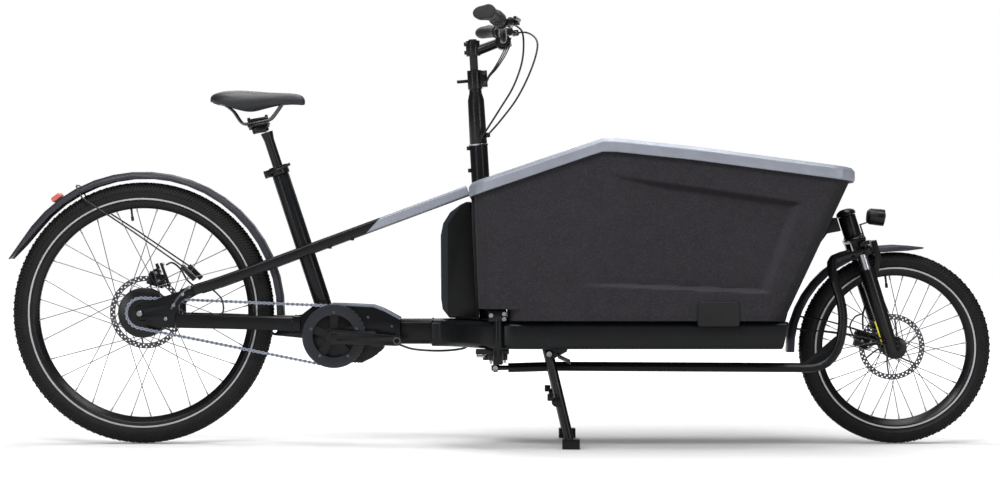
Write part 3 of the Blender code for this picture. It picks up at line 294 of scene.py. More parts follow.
def two_tone(tree, where, colour, fine):
    """Black behind a slanted line and silver ahead of it, with painted shade darkening the silver where the
    tube faces down.
    """
    axes = add_node(tree, "ShaderNodeSeparateXYZ", {"Vector": where})
    slanted = across_slope(tree, axes, -0.9)
    ahead = spread(tree, slanted, 0, 1, -0.869, -0.867)
    # Painted shade: the silver turns darker where the tube's normal points down.
    down = add_node(tree, "ShaderNodeSeparateXYZ", {
        "Vector": add_node(tree, "ShaderNodeTexCoord").outputs["Normal"]}).outputs["Z"]
    silver = mix(tree, spread(tree, down, 1, 0, -0.75, -0.6), srgb("#868b95"), srgb("#2c3036"))
    return mix(tree, ahead, colour, silver), fine


def cover_edge_sheen(tree, where, colour, fine):
    """A painted sheen: a slightly paler band along the back and the top of the battery cover, where its
    edges round over.
    """
    axes = add_node(tree, "ShaderNodeSeparateXYZ", {"Vector": where})
    slanted = across_slope(tree, axes, -0.72)
    # Painted highlight: paler behind a line near the back and above a slanted line near the top.
    behind = spread(tree, axes.outputs["X"], 1, 0, -0.14, -0.1392)
    above = spread(tree, slanted, 1, 0, -0.565, -0.5642)
    either = add_node(tree, "ShaderNodeMath", {0: behind, 1: above}, operation="MAXIMUM").outputs[0]
    return mix(tree, either, colour, srgb("#22252b")), fine


def sidewall_dust(tree, where, colour, fine):
    """Road dust in uneven patches."""
    dust = noise(tree, where, 18, 8, 0.7).outputs["Fac"]
    return mix(tree, spread(tree, dust, 0, 0.35, 0.5, 0.8), colour, srgb("#2a2929")), fine


# %% [markdown]
# ## The list of finishes
# A bicycle like this is nearly all black, yet its blacks differ: powder coat shines softly, foam
# not at all, rubber is greyer and dusty, anodised metal has a hard highlight. The table keeps them
# side by side, so that they can be compared and tuned. Numbers are roughness, metallic, grain in
# millimetres, relief in millimetres, coat, pattern and shine.

# %% Finishes
MATERIALS = {
    "satin_black": finish("satin_black_powder_coat", "#0b0c0e", "#0f1012", 0.3, 0.0, 1.2, 0.005, 0.12, None,
                          0.12),
    # The tubes' two paints carry painted shade on the silver where it faces down.
    "two_tone": finish("black_and_silver_tubes", "#0c0d0f", "#101113", 0.32, 0.1, 1.2, 0.004, 0.12,
                       two_tone, 0.2),
    # The foam carries a painted highlight on faces that look up and back and painted shade on faces that
    # look down.
    "charcoal_foam": finish("expanded_foam", "#252327", "#2a282c", 0.86, 0.0, 0.6, 0.14, 0.0, foam_beads,
                            0.2),
    "grey_rim_plastic": finish("satin_rim_plastic", "#7b7f89", "#858993", 0.42, 0.3, 1.4, 0.004, 0.05, None,
                               0.3),
    "tyre_rubber": finish("tyre_rubber", "#121213", "#171718", 0.58, 0.0, 0.9, 0.02, 0.0, sidewall_dust,
                          0.18),
    "stripe": finish("reflective_stripe", "#96969a", "#a6a6aa", 0.42, 0.1, 0.8, 0.004),
    "hose_sheath": finish("hose_sheath", "#141416", "#1a1a1c", 0.42, 0.0, 6.0, 0.002),
    "black_rubber": finish("ribbed_grip_rubber", "#161618", "#1e1e20", 0.55, 0.0, 1.2, 0.01, 0.0, None,
                           0.3),
    "black_anodised": finish("black_anodised_aluminium", "#0c0c0e", "#121214", 0.28, 0.3, 0.8, 0.003, 0.0,
                             None, 0.35),
    "bright_steel": finish("bright_steel", "#8f8f94", "#a2a2a7", 0.26, 1.0, 0.7, 0.004, 0.0, turned_rings),
    "dark_steel": finish("dark_steel", "#4a4a4f", "#5c5c62", 0.3, 0.9, 0.7, 0.004),
    "chain_steel": finish("chain_steel", "#8b90a0", "#9da2b2", 0.3, 0.9, 0.6, 0.005),
    "chain_dark": finish("chain_pins", "#26272c", "#34353b", 0.35, 0.9, 0.6, 0.006),
    "slate_plastic": finish("slate_plastic", "#181b1f", "#1e2126", 0.4, 0.0, 1.0, 0.01, 0.06, None, 0.25),
    # Black cover plastic with a painted sheen along its rounded back and top edges.
    "cover_with_painted_sheen": finish("battery_cover_plastic", "#08090a", "#0c0d0e", 0.32, 0.0, 1.0, 0.008, 0.04,
                             cover_edge_sheen, 0.14),
    "black_plastic": finish("black_plastic", "#101012", "#161618", 0.44, 0.0, 0.9, 0.01, 0.0, None, 0.25),
    "fender_plastic": finish("fender_plastic", "#22232a", "#282930", 0.42, 0.0, 1.0, 0.008, 0.0, None, 0.3),
    "red_lens": finish("red_lens", "#b34a47", "#c0605c", 0.22, 0.0, 2.0, 0.05, 0.5),
    "clear_lens": finish("clear_lens", "#8d9098", "#a4a7ad", 0.12, 0.3, 2.5, 0.06, 0.8),
    "saddle_cover": finish("saddle_leather", "#17181c", "#1e1f23", 0.48, 0.0, 0.8, 0.05, 0.0, leather_grain,
                           0.35),
    "yellow": finish("yellow_print", "#ded022", "#e6d92a", 0.45, 0.0, 1.0, 0.004),
    "pale_grey": finish("pale_grey_plastic", "#5e646e", "#6b717b", 0.42, 0.1, 1.0, 0.012),
}
print(len(MATERIALS), "finishes")


# %% [markdown]
# ## Shapes
# These helpers make meshes and leave each finished piece at the origin, with its place in the mesh,
# so that any piece can be read without its transform.

# %% Helpers for meshes
def link(name, data):
    """A new object in the scene."""
    thing = bpy.data.objects.new(name, data)
    bpy.context.scene.collection.objects.link(thing)
    return thing


def from_bmesh(name, working, matrix=None):
    """A mesh object from the working mesh, with its normals outwards."""
    if matrix:
        bmesh.ops.transform(working, matrix=matrix, verts=working.verts)
    bmesh.ops.recalc_face_normals(working, faces=working.faces)
    mesh = bpy.data.meshes.new(name)
    working.to_mesh(mesh)
    working.free()
    return link(name, mesh)


# %% [markdown]
# Modifiers do the rounding and smoothing. They are then turned into plain mesh, so that the piece
# which rides on a body is final.

# %% Modifiers into plain mesh
def settled(thing):
    """The piece with its modifiers turned into plain mesh."""
    bpy.context.view_layer.update()
    graph = bpy.context.evaluated_depsgraph_get()
    mesh = bpy.data.meshes.new_from_object(thing.evaluated_get(graph))
    mesh.transform(thing.matrix_world)
    name = thing.name
    bpy.data.objects.remove(thing)
    return link(name, mesh)


# %% [markdown]
# Moulds and lathes leave rounded edges, and a perfectly sharp edge has no highlight and looks
# drawn. So edges are rounded first. Then faces that meet at a small angle are shaded as one
# surface, and a sharper edge stays crisp.

# %% Rounded edges and shading
SHARP_ABOVE = 38  # degrees between faces


def shaded(thing, angle=SHARP_ABOVE):
    thing.data.shade_smooth()
    thing.data.set_sharp_from_angle(angle=math.radians(angle))
    return thing


def softened(thing, width=0.0012, segments=2, angle=32):
    """Edges rounded, flat faces kept flat."""
    if "custom_normal" in thing.data.attributes:
        thing.data.attributes.remove(thing.data.attributes["custom_normal"])
    working = bmesh.new()
    working.from_mesh(thing.data)
    bmesh.ops.remove_doubles(working, verts=working.verts, dist=2e-5)
    bmesh.ops.dissolve_limit(working, angle_limit=math.radians(0.6), verts=working.verts,
                             edges=working.edges)
    working.to_mesh(thing.data)
    working.free()
    if width:
        bevel = thing.modifiers.new("edges", "BEVEL")
        bevel.width = width
        bevel.segments = segments
        bevel.limit_method = "ANGLE"
        bevel.angle_limit = math.radians(angle)
        bevel.harden_normals = False
    return shaded(settled(thing), angle + 6)


# %% [markdown]
# `place` gives a piece its finish and its body, and hides the CAD nodes that it stands for.
# `joined` makes several meshes one piece, which suits small parts that never move against each
# other.

# %% Placing and joining
def place(thing, body, finish_name, replaces=()):
    thing.data.materials.clear()
    thing.data.materials.append(MATERIALS[finish_name])
    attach(thing, body)
    if replaces:
        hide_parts(*replaces)
    print(f"{thing.name}: {len(thing.data.polygons)} faces, {finish_name}, on {body}")
    return thing


def joined(name, *things):
    """Several meshes as one piece."""
    working = bmesh.new()
    for thing in things:
        thing.data.transform(thing.matrix_world)
        working.from_mesh(thing.data)
        bpy.data.objects.remove(thing)
    mesh = bpy.data.meshes.new(name)
    working.to_mesh(mesh)
    working.free()
    return shaded(link(name, mesh))


# %% [markdown]
# Three shapes cover most metal parts: a block, a rod, and a profile turned about an axis as on a
# lathe. Each takes real sizes in metres.

# %% Block, rod and turned profile
def block(name, low, high, width=0.001, matrix=None):
    working = bmesh.new()
    bmesh.ops.create_cube(working, size=1)
    low, high = Vector(low), Vector(high)
    bmesh.ops.scale(working, verts=working.verts, vec=high - low)
    bmesh.ops.translate(working, verts=working.verts, vec=(low + high) / 2)
    return softened(from_bmesh(name, working, matrix), width)


def rod(name, start, end, radius, end_radius=None, sides=32, width=0.0006, matrix=None):
    start, end = Vector(start), Vector(end)
    working = bmesh.new()
    bmesh.ops.create_cone(working, cap_ends=True, segments=sides, radius1=radius,
                          radius2=end_radius or radius, depth=(end - start).length)
    turn = Vector((0, 0, 1)).rotation_difference(end - start).to_matrix().to_4x4()
    bmesh.ops.transform(working, matrix=move((start + end) / 2) @ turn, verts=working.verts)
    return softened(from_bmesh(name, working, matrix), width)


def turned(name, profile, matrix, steps=128, closed=True):
    """A profile of (radius, height) turned about local Z and placed by the matrix."""
    working = bmesh.new()
    rings = []
    for radius, height in profile:
        if radius < 1e-6:
            rings.append([working.verts.new((0, 0, height))] * steps)
            continue
        angles = [2 * math.pi * i / steps for i in range(steps)]
        rings.append([working.verts.new((radius * math.cos(a), radius * math.sin(a),
                                         height)) for a in angles])
    pairs = list(zip(rings, rings[1:])) + ([(rings[-1], rings[0])] if closed else [])
    for a, b in pairs:
        for i in range(steps):
            j = (i + 1) % steps
            corners = list(dict.fromkeys((a[i], a[j], b[j], b[i])))
            if len(corners) > 2:
                working.faces.new(corners)
    return shaded(from_bmesh(name, working, matrix))


def about_y(centre):
    """Local Z along +Y, for wheels."""
    return move(centre) @ Matrix.Rotation(-math.pi / 2, 4, "X")


# %% [markdown]
# A hose or a bent wire is a round section along a smooth path. The path goes through its given
# points, as a cable goes through its clips. A curve object could stay live, but a mesh tube behaves
# like every other piece.

# %% Paths and tubes
def smooth_path(points, spans=8):
    """A smooth line through all the points."""
    points = [Vector(point) for point in points]
    ends = [2 * points[0] - points[1]] + points + [2 * points[-1] - points[-2]]
    path = []
    for a, b, c, d in zip(ends, ends[1:], ends[2:], ends[3:]):
        for step in range(spans):
            t = step / spans
            path.append(0.5 * (2 * b + (c - a) * t + (2 * a - 5 * b + 4 * c - d) * t**2
                               + (3 * b - a - 3 * c + d) * t**3))
    return path + [points[-1]]


def pipe(name, path, radius, matrix=None, roundness=5):
    """A round tube along a list of points, as a mesh."""
    curve = bpy.data.curves.new(name, "CURVE")
    curve.dimensions = "3D"
    curve.bevel_depth = radius
    curve.bevel_resolution = roundness
    curve.use_fill_caps = True
    spline = curve.splines.new("POLY")
    spline.points.add(len(path) - 1)
    for point, at in zip(spline.points, path):
        point.co = (*at, 1)
    thing = settled(link(name, curve))
    if matrix:
        thing.data.transform(matrix)
    return shaded(thing, 50)


# %% [markdown]
# Discs, toothed rings and brackets are cut from sheet, so a plate is an outline with holes and a
# thickness. A filled curve cuts the holes cleanly, with no Boolean.

# %% Plates cut from sheet
def plate(name, outline, y_low, y_high, holes=(), width=0.0006, matrix=None):
    """A flat outline in X and Z, as thick as from y_low to y_high, with holes."""
    curve = bpy.data.curves.new(name, "CURVE")
    curve.dimensions = "2D"
    curve.fill_mode = "BOTH"
    curve.extrude = (y_high - y_low) / 2
    for points in (outline, *holes):
        spline = curve.splines.new("POLY")
        spline.points.add(len(points) - 1)
        spline.use_cyclic_u = True
        for point, (x, z) in zip(spline.points, points):
            point.co = (x, z, 0, 1)
    thing = settled(link(name, curve))
    stand = move((0, (y_low + y_high) / 2, 0)) @ FACE_RIGHT
    thing.data.transform((matrix or Matrix.Identity(4)) @ stand)
    return softened(thing, width, 1)


# %% [markdown]
# Outlines are lists of points, and most of them need arcs and circles.

# %% Arcs and circles
def arc(centre, radius, start, end, count):
    """Points along an arc, with its angles in degrees."""
    angles = [math.radians(start + (end - start) * i / (count - 1)) for i in range(count)]
    return [(centre[0] + radius * math.cos(a), centre[1] + radius * math.sin(a)) for a in angles]


def circle(centre, radius, count=20):
    return arc(centre, radius, 0, 360 * (1 - 1 / count), count)


# %% [markdown]
# Where the CAD shape is right, a copy of it gets rounded edges and a finish. Building it again
# would only risk leaving the space that its collision shape holds.

# %% The CAD's own shapes
def from_cad(node, finish_name=None, width=0.0015, segments=3, angle=32):
    """A CAD node's own shape with its edges rounded."""
    thing = link(node + "_finished", frame["nodes"][node].data.copy())
    thing = softened(thing, width, segments, angle)
    return place(thing, BODY_OF[node], finish_name or SLOT_OF[node], [node])


# %% [markdown]
# ## Copies
# Spokes, chain links, tread blocks and screws repeat by a rule. A Geometry Nodes group puts one
# master piece on every point of a mesh, turned and scaled by the point's own attributes.

# %% The group for copies
def copies_group():
    group = bpy.data.node_groups.new("copies_on_points", "GeometryNodeTree")
    for name, kind, way in (("Geometry", "NodeSocketGeometry", "INPUT"),
                            ("Piece", "NodeSocketObject", "INPUT"),
                            ("Finish", "NodeSocketMaterial", "INPUT"),
                            ("Geometry", "NodeSocketGeometry", "OUTPUT")):
        group.interface.new_socket(name, in_out=way, socket_type=kind)
    given = add_node(group, "NodeGroupInput")
    piece = add_node(group, "GeometryNodeObjectInfo", {"Object": given.outputs["Piece"]})
    turn = add_node(group, "GeometryNodeInputNamedAttribute", {"Name": "turn"}, data_type="FLOAT_VECTOR")
    size = add_node(group, "GeometryNodeInputNamedAttribute", {"Name": "size"}, data_type="FLOAT_VECTOR")
    euler = add_node(group, "FunctionNodeEulerToRotation", {0: turn.outputs[0]})
    spots = add_node(group, "GeometryNodeMeshToPoints", {"Mesh": given.outputs["Geometry"]})
    put = add_node(group, "GeometryNodeInstanceOnPoints", {
        "Points": spots.outputs[0], "Instance": piece.outputs["Geometry"],
        "Rotation": euler.outputs[0], "Scale": size.outputs[0]})
    real = add_node(group, "GeometryNodeRealizeInstances", {0: put.outputs[0]})
    coated = add_node(group, "GeometryNodeSetMaterial", {"Geometry": real.outputs[0],
                                                         "Material": given.outputs["Finish"]})
    add_node(group, "NodeGroupOutput", {0: coated.outputs[0]})
    return group


COPIES = copies_group()


# %% [markdown]
# The group reads each point's turn and size, so one call makes any number of copies. Its inputs are
# set before it first runs, and the result becomes one plain mesh for one body.

# %% Copies of a master piece
def copies(name, master, matrices, finish_name, body, replaces=()):
    """The master piece at every matrix, as one plain mesh on one body."""
    mesh = bpy.data.meshes.new(name)
    mesh.from_pydata([matrix.translation for matrix in matrices], [], [])
    turn = mesh.attributes.new("turn", "FLOAT_VECTOR", "POINT")
    turn.data.foreach_set("vector", [c for matrix in matrices for c in matrix.to_euler()])
    size = mesh.attributes.new("size", "FLOAT_VECTOR", "POINT")
    size.data.foreach_set("vector", [c for matrix in matrices for c in matrix.to_scale()])
    thing = link(name, mesh)
    work = thing.modifiers.new("copies", "NODES")
    sockets = {item.name: item.identifier for item in COPIES.interface.items_tree if item.in_out == "INPUT"}
    work.node_group = COPIES
    work[sockets["Piece"]] = master
    work[sockets["Finish"]] = MATERIALS[finish_name]
    thing = shaded(settled(thing))
    bpy.data.objects.remove(master)
    print(name, "from", len(matrices), "copies")
    return place(thing, body, finish_name, replaces)


# %% [markdown]
# Wheels need spots on a circle, and most fixings are the same socket-head bolt in several sizes.

# %% Spots on a circle, and a bolt
def around_y(centre, radius, degrees, y=0.0, tilt=0.0):
    """A spot on a circle about +Y: local Z points outwards and local Y along the axle."""
    turn = Matrix.Rotation(math.radians(90 - degrees), 4, "Y")
    return move(centre) @ turn @ move((0, y, radius)) @ Matrix.Rotation(tilt, 4, "X")


def bolt(name="bolt_master", radius=0.004, height=0.003):
    """A socket-head bolt that stands along local Z."""
    profile = [(0, height * 0.3), (radius * 0.5, height * 0.3), (radius * 0.55, height),
               (radius * 0.88, height), (radius, height * 0.8), (radius, -height), (0, -height)]
    return turned(name, profile, Matrix.Identity(4), 24, False)


# %% [markdown]
# ## Wheels
# The rear wheel is larger than the front one, which has to pass under the load. Both are made in
# the same way, so their sizes sit in one table and every step reads from it.

# %% Sizes of the two wheels
WHEELS = [
    {"name": "rear", "body": "rear_wheel", "axle": REAR_AXLE, "outer": 0.352, "seat": 0.2985, "half": 0.029,
     "rim_depth": 0.0172, "stripe": 0.3065, "flange": 0.063, "flange_y": 0.024, "blocks": 120},
    {"name": "front", "body": "front_wheel", "axle": FRONT_AXLE, "outer": 0.258, "seat": 0.212,
     "half": 0.0275, "rim_depth": 0.018, "stripe": 0.2145, "flange": 0.028, "flange_y": 0.026,
     "blocks": 90},
]
SPOKES = 32
STEPS_ROUND = 160
for wheel in WHEELS:
    print(wheel["name"], "wheel", round(2000 * wheel["outer"]), "mm across, tyre",
          round(2000 * wheel["half"]), "mm wide")


# %% [markdown]
# A tyre's casing is the same all the way round, so half a section is drawn, mirrored and turned
# about the axle. It stops at the rim's seat, where the bead sits.

# %% Tyre casing
def casing(wheel):
    outer, seat, half = wheel["outer"], wheel["seat"], wheel["half"]
    section = [(outer - 0.0022, 0), (outer - 0.0026, 0.28 * half), (outer - 0.006, 0.56 * half),
               (outer - 0.012, 0.8 * half), (outer - 0.021, 0.97 * half), (outer - 0.03, half),
               (seat + 0.012, 0.9 * half), (seat + 0.004, 0.74 * half), (seat, 0.66 * half)]
    mirrored = [(r, -y) for r, y in reversed(section)]
    place(turned(wheel["name"] + "_tyre_casing", section + mirrored[:-1], about_y(wheel["axle"]),
                 STEPS_ROUND),
          wheel["body"], "tyre_rubber", replaces=[wheel["name"] + "_tyre"])


# %% [markdown]
# The tread is small blocks in five rows, with every second row shifted by half a block, and slanted
# ribs run over the shoulders. They could be painted on as relief, but blocks with real edges show
# against the light at the top and bottom of the tyre. One master block is copied to every spot.

# %% Tread blocks and shoulder ribs
TREAD_ROWS = [  # place across the tyre as a share of its half width, height against the crown, tilt
    (-0.56, -0.0052, 0.62), (-0.28, -0.0012, 0.3), (0, -0.0004, 0), (0.28, -0.0012, -0.3),
    (0.56, -0.0052, -0.62)]
RIB_ROWS = [(0.01, 0.0, 0.74, 0.85), (0.0205, 0.6, 0.955, 1.28)]  # depth, shift in degrees, across, tilt
RIB_SLANT = 0.55


def tread(wheel):
    master = block("tread_master", (-0.0036, -0.0034, -0.0014), (0.0036, 0.0034, 0.0006), 0.0004)
    spots = []
    for i in range(wheel["blocks"]):
        for j, (across, sink, tilt) in enumerate(TREAD_ROWS):
            degrees = 360 / wheel["blocks"] * (i + 0.5 * (j % 2))
            spots.append(around_y(wheel["axle"], wheel["outer"] - 0.0012 + sink, degrees,
                                  across * wheel["half"], -tilt))
    copies(wheel["name"] + "_tread_blocks", master, spots, "tyre_rubber", wheel["body"])


def shoulder_ribs(wheel):
    master = block("rib_master", (-0.0022, -0.0078, -0.001), (0.0022, 0.0078, 0.0017), 0.0005)
    slant = Matrix.Rotation(RIB_SLANT, 4, "Z")
    count, spots = 2 * wheel["blocks"], []
    for i in range(count):
        for side in (RIGHT, LEFT):
            lean = slant if side > 0 else slant.inverted()
            for depth, shift, across, tilt in RIB_ROWS:
                spot = around_y(wheel["axle"], wheel["outer"] - depth, 360 / count * i + shift,
                                side * across * wheel["half"], -side * tilt)
                spots.append(spot @ lean)
    copies(wheel["name"] + "_shoulder_ribs", master, spots, "tyre_rubber", wheel["body"])


# %% [markdown]
# Each sidewall carries a thin reflective stripe close to the rim. It's a raised ring of its own and
# not a painted line, so its edge stays clean at any distance.

# %% Reflective stripe
def stripe(wheel):
    r, wall = wheel["stripe"], wheel["half"] * 0.86
    bands = []
    for side in (RIGHT, LEFT):
        inner, outer = side * (wall - 0.002), side * (wall + 0.0016)
        bands.append(turned("band", [(r + 0.0021, inner), (r + 0.0021, outer * 1.005),
                                     (r - 0.0021, outer * 0.985),
                                     (r - 0.0021, inner)], about_y(wheel["axle"]), STEPS_ROUND))
    place(joined(wheel["name"] + "_stripe", *bands), wheel["body"], "stripe")


# %% [markdown]
# The rim is a hollow aluminium extrusion rolled into a ring, with two hooks that hold the tyre. A
# turned profile gives the hooks, the flat bed for the nipples and the slanted walls in one go.

# %% Rim
def rim_bed(wheel):
    return wheel["seat"] - 0.0003 - wheel["rim_depth"]


def rim(wheel):
    top, bed, edge = wheel["seat"] - 0.0003, rim_bed(wheel), 0.6 * wheel["half"]
    profile = [(top + 0.004, edge + 0.0016), (top + 0.004, edge), (top, edge - 0.001), (top - 0.001, 0),
               (top, -edge + 0.001), (top + 0.004, -edge), (top + 0.004, -edge - 0.0016),
               (top - 0.001, -edge - 0.0012), (top - 0.003, -edge), (bed + 0.003, -0.5 * edge),
               (bed, -0.3 * edge), (bed, 0.3 * edge), (bed + 0.003, 0.5 * edge), (top - 0.003, edge),
               (top - 0.001, edge + 0.0012)]
    place(turned(wheel["name"] + "_rim_finished", profile, about_y(wheel["axle"]), STEPS_ROUND),
          wheel["body"], "black_anodised", replaces=[wheel["name"] + "_rim"])


# %% [markdown]
# Spokes are laced: each leaves its hub flange at a slant, half of them forwards and half backwards,
# so they cross on the way to the rim. That slant carries the drive and the braking. A thin rod of
# unit length is stretched to every spoke's own length, and a brass nipple ends each one in the
# rim's bed.

# %% Laced spokes and their nipples
def spokes(wheel):
    rods, nipples = [], []
    for i in range(SPOKES):
        side = LEFT if i % 2 else RIGHT
        lean = 1 if (i // 2) % 2 else -1
        at_rim = math.radians(360 / SPOKES * i + 4)
        at_hub = at_rim + lean * math.radians(56)
        start = Vector((math.cos(at_hub) * wheel["flange"], side * (wheel["flange_y"] + lean * 0.0016),
                        math.sin(at_hub) * wheel["flange"]))
        end = Vector((math.cos(at_rim) * rim_bed(wheel), side * 0.004, math.sin(at_rim) * rim_bed(wheel)))
        reach = end - start
        turn = Vector((0, 0, 1)).rotation_difference(reach).to_matrix().to_4x4()
        rods.append(move(wheel["axle"] + start) @ turn @ Matrix.Diagonal((1, 1, reach.length, 1)))
        nipples.append(move(wheel["axle"] + end) @ turn)
    master = rod("spoke_master", (0, 0, 0), (0, 0, 1), 0.0011, sides=8, width=0)
    copies(wheel["name"] + "_spokes_laced", master, rods, "dark_steel", wheel["body"],
           replaces=[wheel["name"] + "_spokes"])
    master = rod("nipple_master", (0, 0, -0.012), (0, 0, 0.001), 0.0019, 0.0021, sides=10, width=0)
    copies(wheel["name"] + "_nipples", master, nipples, "bright_steel", wheel["body"])


# %% [markdown]
# A valve with its cap stands on the inside of each rim. Then every step runs for both wheels.

# %% Valves, and both wheels made
def valve(wheel):
    piece = joined(wheel["name"] + "_valve", rod("stem", (0, 0, 0.022), (0, 0, 0.0), 0.0029, sides=16),
                   rod("cap", (0, 0, -0.012), (0, 0, 0), 0.004, sides=12))
    piece.data.transform(around_y(wheel["axle"], rim_bed(wheel) - 0.02, 97))
    place(piece, wheel["body"], "black_anodised")


for wheel in WHEELS:
    for step in (casing, tread, shoulder_ribs, stripe, rim, spokes, valve):
        step(wheel)


# %% [markdown]
# ## Brake discs
# A disc is a steel ring drilled in two rows, to shed water and heat, held by slim curved arms. It's
# cut from sheet, so it's a plate with round holes.

# %% Brake discs
HOLES_PER_ROW, DISC_ARMS = 40, 6


def drilled_disc(prefix, body, axle, outer, y, hub_radius):
    holes = []
    for row, inset in enumerate((0.0042, 0.0098)):
        for i in range(HOLES_PER_ROW):
            a = 2 * math.pi * (i + 0.5 * row) / HOLES_PER_ROW
            holes.append(circle((axle.x + (outer - inset) * math.cos(a),
                                 axle.z + (outer - inset) * math.sin(a)),
                                0.0023, 8))
    inner = outer - 0.0145
    track = plate("track", circle((axle.x, axle.z), outer, 120), y - 0.0009, y + 0.0009,
                  [circle((axle.x, axle.z), inner, 90), *holes], 0)
    arms = []
    for i in range(DISC_ARMS):
        a = 2 * math.pi * i / DISC_ARMS
        b = a + 0.42
        arms.append(pipe("arm", smooth_path([
            axle + Vector((hub_radius * math.cos(a), y, hub_radius * math.sin(a))),
            axle + Vector(((inner + hub_radius) / 2 * math.cos(a + 0.28), y,
                           (inner + hub_radius) / 2 * math.sin(a + 0.28))),
            axle + Vector(((inner + 0.002) * math.cos(b), y, (inner + 0.002) * math.sin(b)))], 4), 0.0024,
            None, 2))
    place(joined(prefix + "_disc_track", track, *arms), body, "dark_steel",
          replaces=[prefix + "_brake_disc"])
    boss = turned(prefix + "_disc_boss", [(hub_radius + 0.004, -0.0016), (hub_radius + 0.004, 0.0016),
                                          (hub_radius - 0.008, 0.003), (hub_radius - 0.008, -0.0016)],
                  about_y(axle + Vector((0, y, 0))), 64)
    place(boss, body, "black_anodised")


drilled_disc("rear", "rear_wheel", REAR_AXLE, 0.0985, 0.046, 0.034)
drilled_disc("front", "front_wheel", FRONT_AXLE, 0.089, 0.042, 0.026)


# %% [markdown]
# ## Hubs and axle ends
# The rear hub holds the gears, so it's a wide drum with two spoke flanges; the front one is a slim
# spool. Both are lathe work, and their profiles keep a bore for the axle.

# %% Hub shells and axle caps
place(turned("rear_hub_shell", [
    (0.006, 0.05), (0.015, 0.05), (0.017, 0.048), (0.026, 0.044), (0.03, 0.036), (0.048, 0.033),
    (0.066, 0.0285), (0.0672, 0.024), (0.066, 0.0205), (0.056, 0.019), (0.054, -0.019), (0.066, -0.0205),
    (0.0672, -0.024), (0.066, -0.0285), (0.05, -0.033), (0.03, -0.036), (0.024, -0.042), (0.015, -0.052),
    (0.006, -0.052)], about_y(REAR_AXLE), 96), "rear_wheel", "black_anodised", replaces=["rear_hub"])
place(turned("front_hub_shell", [
    (0.0058, 0.047), (0.012, 0.047), (0.015, 0.039), (0.018, 0.033), (0.03, 0.029), (0.0306, 0.026),
    (0.029, 0.024), (0.016, 0.018), (0.014, 0.0), (0.016, -0.018), (0.029, -0.024), (0.0306, -0.026),
    (0.03, -0.029), (0.016, -0.033), (0.012, -0.047), (0.0058, -0.047)], about_y(FRONT_AXLE), 80),
    "front_wheel", "black_anodised")
axle_caps = [around_y(REAR_AXLE, 0, 0, -0.0915, math.pi / 2)]
copies("rear_axle_cap", bolt(radius=0.0075, height=0.004), axle_caps, "bright_steel", "frame")
caps = [around_y(FRONT_AXLE, 0, 0, -0.0745, math.pi / 2), around_y(FRONT_AXLE, 0, 0, 0.0745, -math.pi / 2)]
copies("front_axle_caps", bolt(radius=0.0085, height=0.0045), caps, "black_anodised", "fork_lower")


# %% [markdown]
# ## Chain
# A bicycle chain has a pin every 12.7 mm, and outer and inner links by turns. One texture on a band
# would look flat, so each link is a real pair of plates with rollers. The path is two arcs about
# the chainring and the sprocket and two straight runs, and the whole number of links is spread
# evenly along it.

# %% Chain path
CHAIN_Y = -0.048
HALF_LINK = 0.00635
RING_RADIUS, SPROCKET_RADIUS = 0.0809, 0.0406
RING_TEETH, SPROCKET_TEETH = 40, 20


def chain_spots(pitch=4 * HALF_LINK):
    """One spot for every second pin of the chain, along two arcs and two straight runs."""
    reach = CRANK - REAR_AXLE
    lean = math.atan2(reach.z, reach.x)
    spread_angle = math.acos((RING_RADIUS - SPROCKET_RADIUS) / reach.length)
    top, bottom = lean + math.pi - spread_angle, lean - math.pi + spread_angle
    points = [CRANK + Vector((RING_RADIUS * math.cos(a), 0,
                              RING_RADIUS * math.sin(a))) for a in np.linspace(bottom, top, 160)]
    points += [REAR_AXLE + Vector((SPROCKET_RADIUS * math.cos(a), 0, SPROCKET_RADIUS * math.sin(a)))
               for a in np.linspace(top, bottom + 2 * math.pi, 90)]
    points.append(points[0])
    lengths = np.cumsum([0] + [(b - a).length for a, b in zip(points, points[1:])])
    count = round(lengths[-1] / pitch)
    spots = []

    def at(distance):
        distance = distance % lengths[-1]
        i = min(int(np.searchsorted(lengths, distance, "right")) - 1, len(points) - 2)
        share = (distance - lengths[i]) / (lengths[i + 1] - lengths[i])
        return points[i].lerp(points[i + 1], share)
    for i in range(2 * count):
        a, b = at(lengths[-1] * i / (2 * count)), at(lengths[-1] * (i + 1) / (2 * count))
        turn = Matrix.Rotation(-math.atan2(b.z - a.z, b.x - a.x), 4, "Y")
        spots.append(move((a + b) / 2 + Vector((0, CHAIN_Y, 0))) @ turn)
    return spots


# %% [markdown]
# A link's side plate has two round ends and a waist. Outer plates are taller and sit wider apart
# than inner ones, and dark pin heads show at every joint.

# %% Links and pins
def link_master(name, plate_y, height):
    """Two side plates with a waist, and the rollers between them."""
    waist = height * 0.26
    ahead, behind = (arc((side * HALF_LINK, 0), height / 2, start, start + 140, 8) for side,
                     start in ((1, -70), (-1, 110)))
    outline = ahead + [(0, waist)] + behind + [(0, -waist)]
    plates = [plate("side", outline, side * plate_y - 0.0005, side * plate_y + 0.0005, (),
                    0) for side in (-1, 1)]
    rollers = [rod("roller", (x, -plate_y - 0.0009, 0), (x, plate_y + 0.0009, 0), 0.0024, sides=12, width=0)
               for x in (-HALF_LINK, HALF_LINK)]
    return joined(name, *plates, *rollers)


SPOTS = chain_spots()
copies("chain_outer_links", link_master("outer_master", 0.0029, 0.0098), SPOTS[0::2], "chain_steel",
       "frame", replaces=["chain"])
copies("chain_inner_links", link_master("inner_master", 0.0017, 0.0092), SPOTS[1::2], "chain_steel",
       "frame")
copies("chain_pins", rod("pin_master", (-HALF_LINK, -0.004, 0), (-HALF_LINK, 0.004, 0), 0.0017, sides=10,
                         width=0), SPOTS,
       "chain_dark", "frame")


# %% [markdown]
# ## Chainring, guard and cranks
# The teeth follow a rule: six points for each, set round the pitch circle. The ring has windows
# between its arms, a flat guard ring covers it from outside, and both turn with the cranks.

